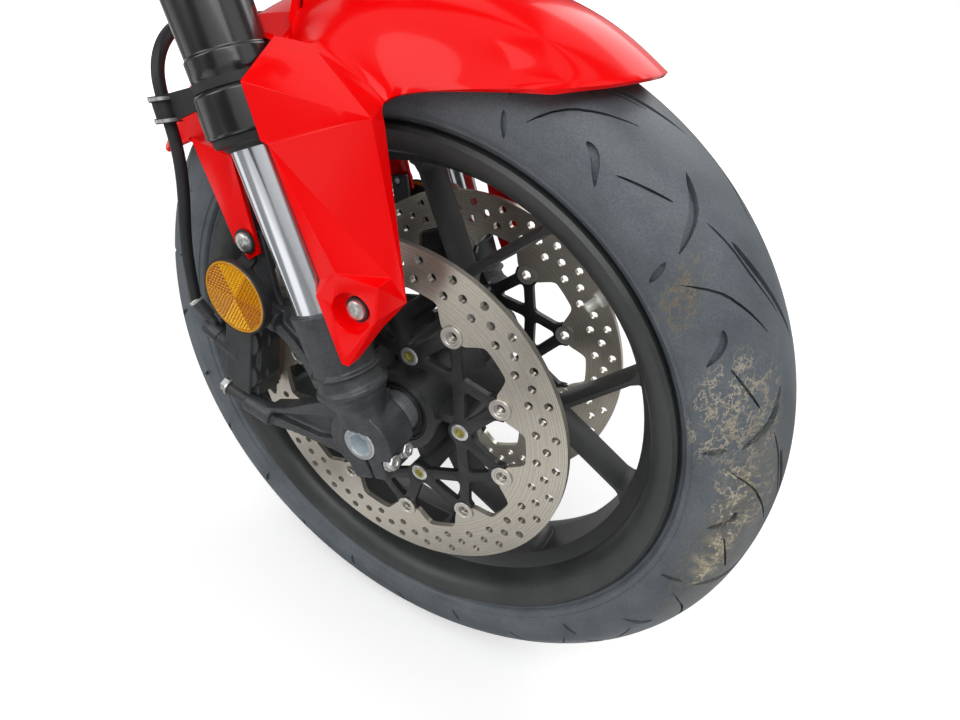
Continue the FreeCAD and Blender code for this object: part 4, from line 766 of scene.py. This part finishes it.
# Pinch bolts: plated steel flange bolts with hexagon heads. Two of them close each axle clamp from the
# front, and their shanks run through the clamp's slot.
PINCH_SEAT, PINCH_DROP = 13.0, 20.8
hexagon_head = [(1.4, 0), (1.4, 6.7), (6.2, 6.7), (7.1, 5.6), (7.1, 3), (6.2, 2.2), (6, 0)]
shank_and_flange = [(-33, 0), (-33, 3.98), (0, 3.98), (0, 7.1), (0.4, 7.5), (1.2, 7.5), (2, 6.6),
                    (2.6, 5.6), (2.6, 0)]
pinch_parts = []
for y in (-108.65, -90.65):
    foot = at_leg(-PINCH_DROP, PINCH_SEAT, y)
    head = lathe("pinch_head", hexagon_head, foot, LEG_FORE, 6)
    bevel(head, 0.3, 20.0)
    pinch_parts += [lathe("pinch_flange", shank_and_flange, foot, LEG_FORE, 48), head]
pinch_bolts = join("pinch_bolts_right", pinch_parts)
pinch_bolts = join("pinch_bolt_heads", [pinch_bolts, mirror_image(pinch_bolts)])
smooth(pinch_bolts, 24.0)
finish(pinch_bolts, "fork", "bright_steel", bright_steel, "pinch_bolts")

# Inner tubes: hard-chromed steel, ground and polished. They sit in the fork bottoms' sockets and slide in
# the outer tubes.
chrome = grained("chrome", (0.86, 0.9, 0.95), (0.91, 0.94, 0.97), (0.06, 0.11), metallic=0.92, scale=300.0,
                 patch=10.0, bump=0.015)
dress("inner_tube_right inner_tube_left", 0.3, "fork", "chrome_tube", chrome)

# Dust seals: moulded rubber rings, pressed on the outer tubes' lower ends, that wipe the inner tubes.
# Each has a lip of smaller diameter below.
dress("dust_seal_right dust_seal_left", 0.6, "fork", "seal_rubber", rubber_black)

# Outer tubes: turned aluminium, anodised and polished in black, with a groove for the hose clamp's band
# and small chamfers. The lower yoke clamps them.
gloss_black = grained("gloss_black", (0.01, 0.01, 0.0115), (0.017, 0.017, 0.019), (0.17, 0.25), scale=600.0,
                      patch=12.0, bump=0.02, Specular_IOR_Level=0.7, Coat_Weight=0.5, Coat_Roughness=0.1)
dress("outer_tube_right outer_tube_left", 0.5, "fork", "tube_black", gloss_black)

# Fork caps: turned and milled aluminium in the tubes' black, screwed into their upper ends by a hexagon.
# The photograph cuts them off, so they follow the type.
dress("fork_caps", 0.5, "fork", "yoke_black", gloss_black)

# Lower yoke and steering stem: a cast aluminium bridge with two split clamps, and the steel tube that turns
# in the frame's head.
finish(cast_form("lower_yoke", 1.8, 3), "fork", "yoke_black", cast_paint, "lower_yoke")
stem_steel = grained("stem_steel", (0.3, 0.3, 0.31), (0.38, 0.38, 0.39), (0.34, 0.42), metallic=0.8,
                     scale=300.0, patch=15.0, bump=0.02)
dress("steering_stem", 0.5, "fork", "bearing_steel", stem_steel)

# Brake calipers: one-piece cast aluminium in dark grey, four pistons each, with a flat bare face outwards
# and the rounded ends of the cylinders beside it. Two flange bolts from behind hold each one to its lugs.
caliper_paint = grained("caliper_paint", (0.034, 0.036, 0.038), (0.075, 0.078, 0.081), (0.38, 0.52),
                        metallic=0.25, scale=1300.0, patch=35.0, bump=0.3)
for node in ("caliper_right", "caliper_left"):
    finish(cast_form(node, 0.95, 2), "fork", "caliper_black", caliper_paint, node)
dress("caliper_bolts", 0.4, "fork", "bright_steel", bright_steel)

# Brake pads: sintered brown lining on steel plates. They hang in the calipers' windows, one on each side
# of a disc.
lining = grained("pad_lining", (0.1, 0.065, 0.04), (0.22, 0.14, 0.085), (0.7, 0.85), patch=200.0,
                 bump=0.5)
dress("brake_pads", 0.4, "fork", "pad_lining", lining)

# Hose unions: blackened steel banjos with their sleeves, bolted to the backs of the calipers, and a plated
# crimp ring where each hose goes in.
union_black = grained("union_black", (0.06, 0.063, 0.068), (0.12, 0.125, 0.132), (0.34, 0.48), metallic=0.6,
                      scale=1000.0, bump=0.15)
dress("banjo_fittings", 0.5, "fork", "bright_steel", union_black)
crimp_foot = at(*hose_half[0])
crimp = lathe("crimp_ring", [(-1.6, 5.2), (-1.6, 5.7), (-1.2, 6), (1, 6), (1.4, 5.7), (1.4, 5.2)],
              crimp_foot, at(-168.0, -102.0, 38.0) - crimp_foot, 32, True)
finish(mirrored("hose_crimps", crimp), "fork", "bright_steel", bright_steel)

# Hose clamps: black steel straps from bands in the outer tubes' grooves, each with a rubber grommet between
# two collars, and plated clips round the collars.
plastic_black = grained("plastic_black", (0.014, 0.014, 0.015), (0.026, 0.026, 0.028), (0.4, 0.55),
                        scale=1500.0, patch=40.0, bump=0.2)
dress("hose_clamp_right hose_clamp_left", 0.4, "fork", "yoke_black", plastic_black)
hold_low, hold_high = at(*hose_half[4]), at(*hose_half[5])
hold = hold_low + (hold_high - hold_low) * 0.85
clips = [lathe("collar_clip", [(step - 1.1, 8.7), (step - 1.1, 9.3), (step + 1.1, 9.3), (step + 1.1, 8.7)],
               hold, hold_high - hold_low, 40, True) for step in (-7.0, 7.0)]
finish(mirrored("collar_clips", join("collar_clips_right", clips)), "fork", "bright_steel", bright_steel)

# Mudguard: one moulded plastic skin, 3 mm thick, in gloss red. Its crown is smooth, and its side legs are
# folded along soft creases down to round cups for the front bolts; a strip at the back holds the rear ones.
CREST_R = 318.0
FRONT_BOLT, REAR_BOLT = (-6.5, 120.3), (-118.6, 128.5)
CUP_FLOOR, CUP_R, MOUTH_R, CUP_EDGE_R = 113.5, 14.0, 15.9, 16.2
GUARD_THICKNESS, REAR_SEAT, BOLT_HOLE_R = 0.003, 103.2, 3.2
guard_rows = [[(66, 0, 6), (67.3, 30, 12), (69.5, 50, 20.5), (73, 67, 31)],
              [(75, 0, 2), (75.5, 31, 7), (77, 55, 21), (80.5, 75, 47.5)],
              [(86, 0, 0), (86, 32, 5), (87, 60, 22), (88.7, 76, 61)],
              [(97, 0, 0), (97, 33, 4.5), (98.5, 63, 24)],
              [(108, 0, 0), (108, 33, 4.5), (108.5, 61, 23)],
              [(122, 0, 0), (122, 33, 4.5), (122, 60, 21), (124, 67, 56)],
              [(136, 0, 0), (136, 32, 4.5), (136, 60, 21), (138, 73, 52)],
              [(150, 0, 2), (149, 31, 6.5), (147.5, 58, 21), (145.5, 73, 35)]]
guard_corners = {
    "notch": (-90, -92, 270), "root": (-104, -66, 263), "beak": (-84, -127, 249), "heel": (-71.5, -127, 218),
    "step": (-65.5, -127, 217), "knee": (-32, -122, 136), "hip": (-34, -124, 124), "toe": (-9, -127, 80),
    "tip": (-4, -126, 80), "toe_rim": (-1, -119, 84), "crease": (-3, -110, 245), "shelf": (-18.5, -122, 146),
    "ledge": (12, -104, 147), "corner": (12, -118, 145), "block": (12.5, -118, 121),
    "brink": (12, -109, 112), "top": (-4, -96, 240), "low": (23, -100, 131), "under": (-14, -82, 248),
    "ridge": (-69, -84, 269), "strip_a": (-128, -100, 186), "strip_b": (-168, -100, 192),
    "tab_a": (-130.2, -103, 123.5), "tab_b": (-117.0, -103, 113.8), "tab_c": (-106.2, -103, 122.5)}
leg_faces = ["notch beak ridge", "beak crease ridge", "beak heel crease", "heel step crease",
             "step knee shelf", "step shelf ledge", "step ledge crease", "crease ledge low",
             "crease low top", "notch ridge root", "corner block low", "corner low ledge", "block brink low",
             "block tip brink", "tip toe_rim brink", "shelf corner ledge"]
block_faces = ["knee hip shelf", "hip corner shelf", "hip block corner", "hip toe block", "toe tip block"]
soft_faces = ["crease top under", "crease under ridge", "under r3c2 ridge", "under r2c3 r2c2 r3c2",
              "r3c2 r4c2 root ridge", "r4c2 r5c2 r5c3 root"]
strip_faces = ["r5c3 r6c3 strip_b strip_a", "strip_a strip_b tab_a tab_b tab_c"]
for i in range(7):
    for j in range(3 if i in (0, 1, 5, 6) else 2):
        soft_faces.append("r%dc%d r%dc%d r%dc%d r%dc%d" % (i, j, i, j + 1, i + 1, j + 1, i + 1, j))
places = {name: Vector(corner) for name, corner in guard_corners.items()}
for i, row in enumerate(guard_rows):
    for j, (deg, across, drop) in enumerate(row):
        a, r = math.radians(deg), CREST_R - drop
        places["r%dc%d" % (i, j)] = Vector((r * math.cos(a), -across, r * math.sin(a)))


def guard_net(name, face_names, sides=(1, -1), push=0.0):
    """A net of faces between named places, on one or both sides, pushed across the wheel by so much."""
    index, verts, faces = {}, [], []
    for side in sides:
        for words in face_names:
            face = []
            for word in words.split():
                p = places[word]
                key = (word, 1 if p.y == 0.0 else side)
                if key not in index:
                    index[key] = len(verts)
                    verts.append(at(p.x, p.y * side + push, p.z))
                face.append(index[key])
            faces.append(tuple(face))
    net = new_mesh(name, verts, [], faces)
    outwards(net)
    return net


def spots(vectors):
    """A set of places, rounded so that equal ones are the same."""
    return {tuple(round(c, 6) for c in v) for v in vectors}


guard = guard_net("mudguard_shell", leg_faces + block_faces + strip_faces + soft_faces)
crease = guard.data.attributes.new("crease_edge", "FLOAT", "EDGE")
soft_spots = [spots(at(places[w].x, side * places[w].y, places[w].z) for w in words.split())
              for words in soft_faces for side in (1, -1)]
for edge in guard.data.edges:
    ends = spots(guard.data.vertices[v].co for v in edge.vertices)
    crease.data[edge.index].value = 0.0 if sum(ends <= face for face in soft_spots) == 2 else 1.0
wanted = [v.co.copy() for v in guard.data.vertices]
for _ in range(6):
    trial = twin(guard)
    apply(trial, "SUBSURF", levels=2, render_levels=2)
    for vertex, target, reached in zip(guard.data.vertices, wanted, trial.data.vertices):
        vertex.co += target - reached.co
    bpy.data.objects.remove(trial)
apply(guard, "SUBSURF", levels=3, render_levels=3)
edit(guard)
bpy.ops.mesh.dissolve_limited(angle_limit=math.radians(0.3))
bpy.ops.object.mode_set(mode="OBJECT")
bevel(guard, 2.4, 16.0, 3)
apply(guard, "SOLIDIFY", thickness=GUARD_THICKNESS, offset=-1.0, use_even_offset=True)
cups = []
for side in (1, -1):
    bolt = at(FRONT_BOLT[0], 0, FRONT_BOLT[1])
    cup_profile = [(-110.5, 0.0), (-110.5, CUP_EDGE_R), (-131.0, CUP_EDGE_R), (-131.0, MOUTH_R),
                   (-CUP_FLOOR, CUP_R), (-CUP_FLOOR, 0.0)]
    cup = lathe("guard_cup", [(a * side, r) for a, r in cup_profile], bolt, steps=64)
    outside = guard_net("guard_outside", block_faces, (side,), 1.6 * side)
    edit(outside)
    bpy.ops.mesh.extrude_region_move(TRANSFORM_OT_translate={"value": (0, -0.04 * side, 0)})
    bpy.ops.mesh.select_all(action="SELECT")
    closed()
    cut(cup, outside)
    mouth_profile = [(-CUP_FLOOR, 0.0), (-CUP_FLOOR, CUP_R), (-131.5, MOUTH_R + 0.05), (-131.5, 0.0)]
    cut(guard, lathe("guard_mouth", [(a * side, r) for a, r in mouth_profile], bolt, steps=64))
    cups.append(cup)
    for (x, z), drilled in ((FRONT_BOLT, cup), (REAR_BOLT, guard)):
        hole = [(-90 * side, 0), (-90 * side, BOLT_HOLE_R), (-140 * side, BOLT_HOLE_R), (-140 * side, 0)]
        cut(drilled, lathe("bolt_hole", hole, at(x, 0, z), steps=32))
bevel(guard, 0.6, 50.0)
guard = join("mudguard_shell", [guard] + cups)
smooth(guard, 24.0)
guard_red = grained("guard_red", (0.98, 0.0003, 0.001), (1.0, 0.0006, 0.002), (0.16, 0.21), scale=500.0,
                    patch=12.0, bump=0.015, Specular_IOR_Level=0.15, Coat_Weight=0.2, Coat_Roughness=0.03)
finish(guard, "fork", "guard_red", guard_red, "mudguard")

# Mudguard bolts: domed steel screws with small sockets, each in a black rubber ring; the front ones sit in
# the mudguard's cups, the rear ones also hold the reflectors' arms.
screw_profile = [(12, 0), (12, 2.9), (0, 2.9), (0, 7.8), (-1.6, 7.9), (-3.6, 6.9), (-4.7, 4.8),
                 (-5, 2.8), (-2.6, 2.3), (-2.6, 0)]
ring_profile = [(-0.1, 8), (-0.1, 9.4), (-1.4, 9.4), (-2, 8.9), (-2, 8)]
for name, profile, paint, slot, is_ring, replaced in (
        ("mudguard_screws", screw_profile, bright_steel, "bright_steel", False, ["mudguard_bolts"]),
        ("mudguard_bolt_rings", ring_profile, rubber_black, "black_plastic", True, [])):
    made = []
    for (x, z), face in ((FRONT_BOLT, CUP_FLOOR), (REAR_BOLT, REAR_SEAT)):
        turned = [(a - face, r) for a, r in profile]
        made.append(lathe(name, turned, at(x, 0.0, z), steps=40, is_ring=is_ring))
    finish(mirrored(name, join(name, made)), "fork", slot, paint, *replaced)

# Reflectors: moulded amber discs, 58 mm across, with rows of small pyramids in six sectors, in black
# plastic holders that are bolted on with the mudguard's rear screws. The pyramids carry painted shade:
# each of a pyramid's three faces is coloured dark, middle or light amber, turned round by sector.
LENS = (-111.0, 93.0)
CELL, CELL_REACH, CELL_LEAN = 2.9, 26.2, 0.32
CELL_FOOT, CELL_PEAK = 125.5, 126.9
# Painted shade for the lens cells' faces, from shaded (0) to lit (1) amber; the flat base keeps one fixed mid
# value.
CELL_PAINTED_SHADES, CELL_BACK_PAINTED_SHADE, LENS_TONE = (0.1, 0.55, 1.0), 0.3, 0.45


def paint_shade_and_tone(piece, shades_and_tones):
    """Gives each face of a piece its own value, painted shade on the cells and a fixed tone on the flat base,
    which the lens material reads as a blend from dark to lit amber.
    """
    shade_layer = piece.data.attributes.new("cell_shade_and_tone", "FLOAT", "FACE")
    for index, value in enumerate(shades_and_tones):
        shade_layer.data[index].value = value


amber = grained("amber", (1.0, 0.47, 0.002), (1.0, 0.6, 0.005), (0.12, 0.2), scale=700.0, bump=0.05,
                Coat_Weight=1.0, Coat_Roughness=0.04)
amber_tree = amber.node_tree
amber_shade_and_tone = add(amber_tree, "Attribute", attribute_name="cell_shade_and_tone").outputs["Fac"]
amber_color = amber_tree.nodes["Principled BSDF"].inputs["Base Color"].links[0].from_socket
# Painted shade: each face's value blends the amber from a dark, shaded amber to its lit colour.
feed(amber, Base_Color=mixed(amber_tree, amber_shade_and_tone, (0.35, 0.085, 0.001, 1.0), amber_color))
rim_profile = [(-122.2, 28.9), (-122.2, 30.2), (-125.6, 30.2), (-126.3, 29.6), (-126.3, 28.9)]
lens_profile = [(-122, 0), (-122, 28.8), (-125.9, 28.8), (-126.4, 28.3), (-126.4, 27), (-125.4, 26.6),
                (-125.4, 0)]
row_height = CELL * math.sqrt(3.0) / 2
for side, hand in ((-1, "right"), (1, "left")):
    verts, faces, shades_and_tones = [], [], []
    for row in range(-12, 12):
        for column in range(-24, 24):
            flip = (row + column) % 2
            u0 = column * CELL / 2
            v0, v1 = (row + 1, row) if flip else (row, row + 1)
            low, high = v0 * row_height, v1 * row_height
            corners = [(u0, low), (u0 + CELL, low), (u0 + CELL / 2, high)]
            if flip:
                corners.reverse()
            u, v = sum(c[0] for c in corners) / 3, sum(c[1] for c in corners) / 3
            if math.hypot(u, v) > CELL_REACH:
                continue
            sector = int(math.degrees(math.atan2(v, u)) // 60) % 6
            lean = math.radians(60 * sector + 30)
            peak = (u + CELL_LEAN * math.cos(lean), v + CELL_LEAN * math.sin(lean))
            first = len(verts)
            for (cu, cv), reach in [(c, CELL_FOOT) for c in corners] + [(peak, CELL_PEAK)]:
                verts.append(at(LENS[0] + cu, side * reach, LENS[1] + cv))
            faces += [(first + k, first + (k + 1) % 3, first + 3) for k in range(3)]
            faces.append((first + 2, first + 1, first))
            # Painted shade: a pyramid's three faces get dark, middle and light values, turned by sector, and
            # its hidden base one value.
            shades_and_tones += [CELL_PAINTED_SHADES[(k + sector) % 3] for k in range(3)] + [CELL_BACK_PAINTED_SHADE]
    cells = new_mesh("lens_cells", verts, [], faces)
    paint_shade_and_tone(cells, shades_and_tones)
    outwards(cells)
    lens_middle = at(LENS[0], 0.0, LENS[1])
    base = lathe("lens_base", [(-side * a, r) for a, r in lens_profile], lens_middle, steps=72)
    paint_shade_and_tone(base, [LENS_TONE] * len(base.data.polygons))
    smooth(base)
    finish(join("reflector_lens_%s_cells" % hand, [base, cells]), "fork", "amber_lens", amber,
           "reflector_lens_" + hand)
    rim_turned = [(-side * a, r) for a, r in rim_profile]
    rim = lathe("reflector_rim", rim_turned, lens_middle, steps=72, is_ring=True)
    holder = "reflector_holder_" + hand
    arm = softened(holder, 0.5)
    bpy.ops.mesh.primitive_cube_add(size=0.04, location=at(REAR_BOLT[0], side * 102, 139.0))
    cut(arm, bpy.context.object)
    held = join(holder + "_rimmed", [arm, rim])
    smooth(held)
    finish(held, "fork", "black_plastic", plastic_black, holder)
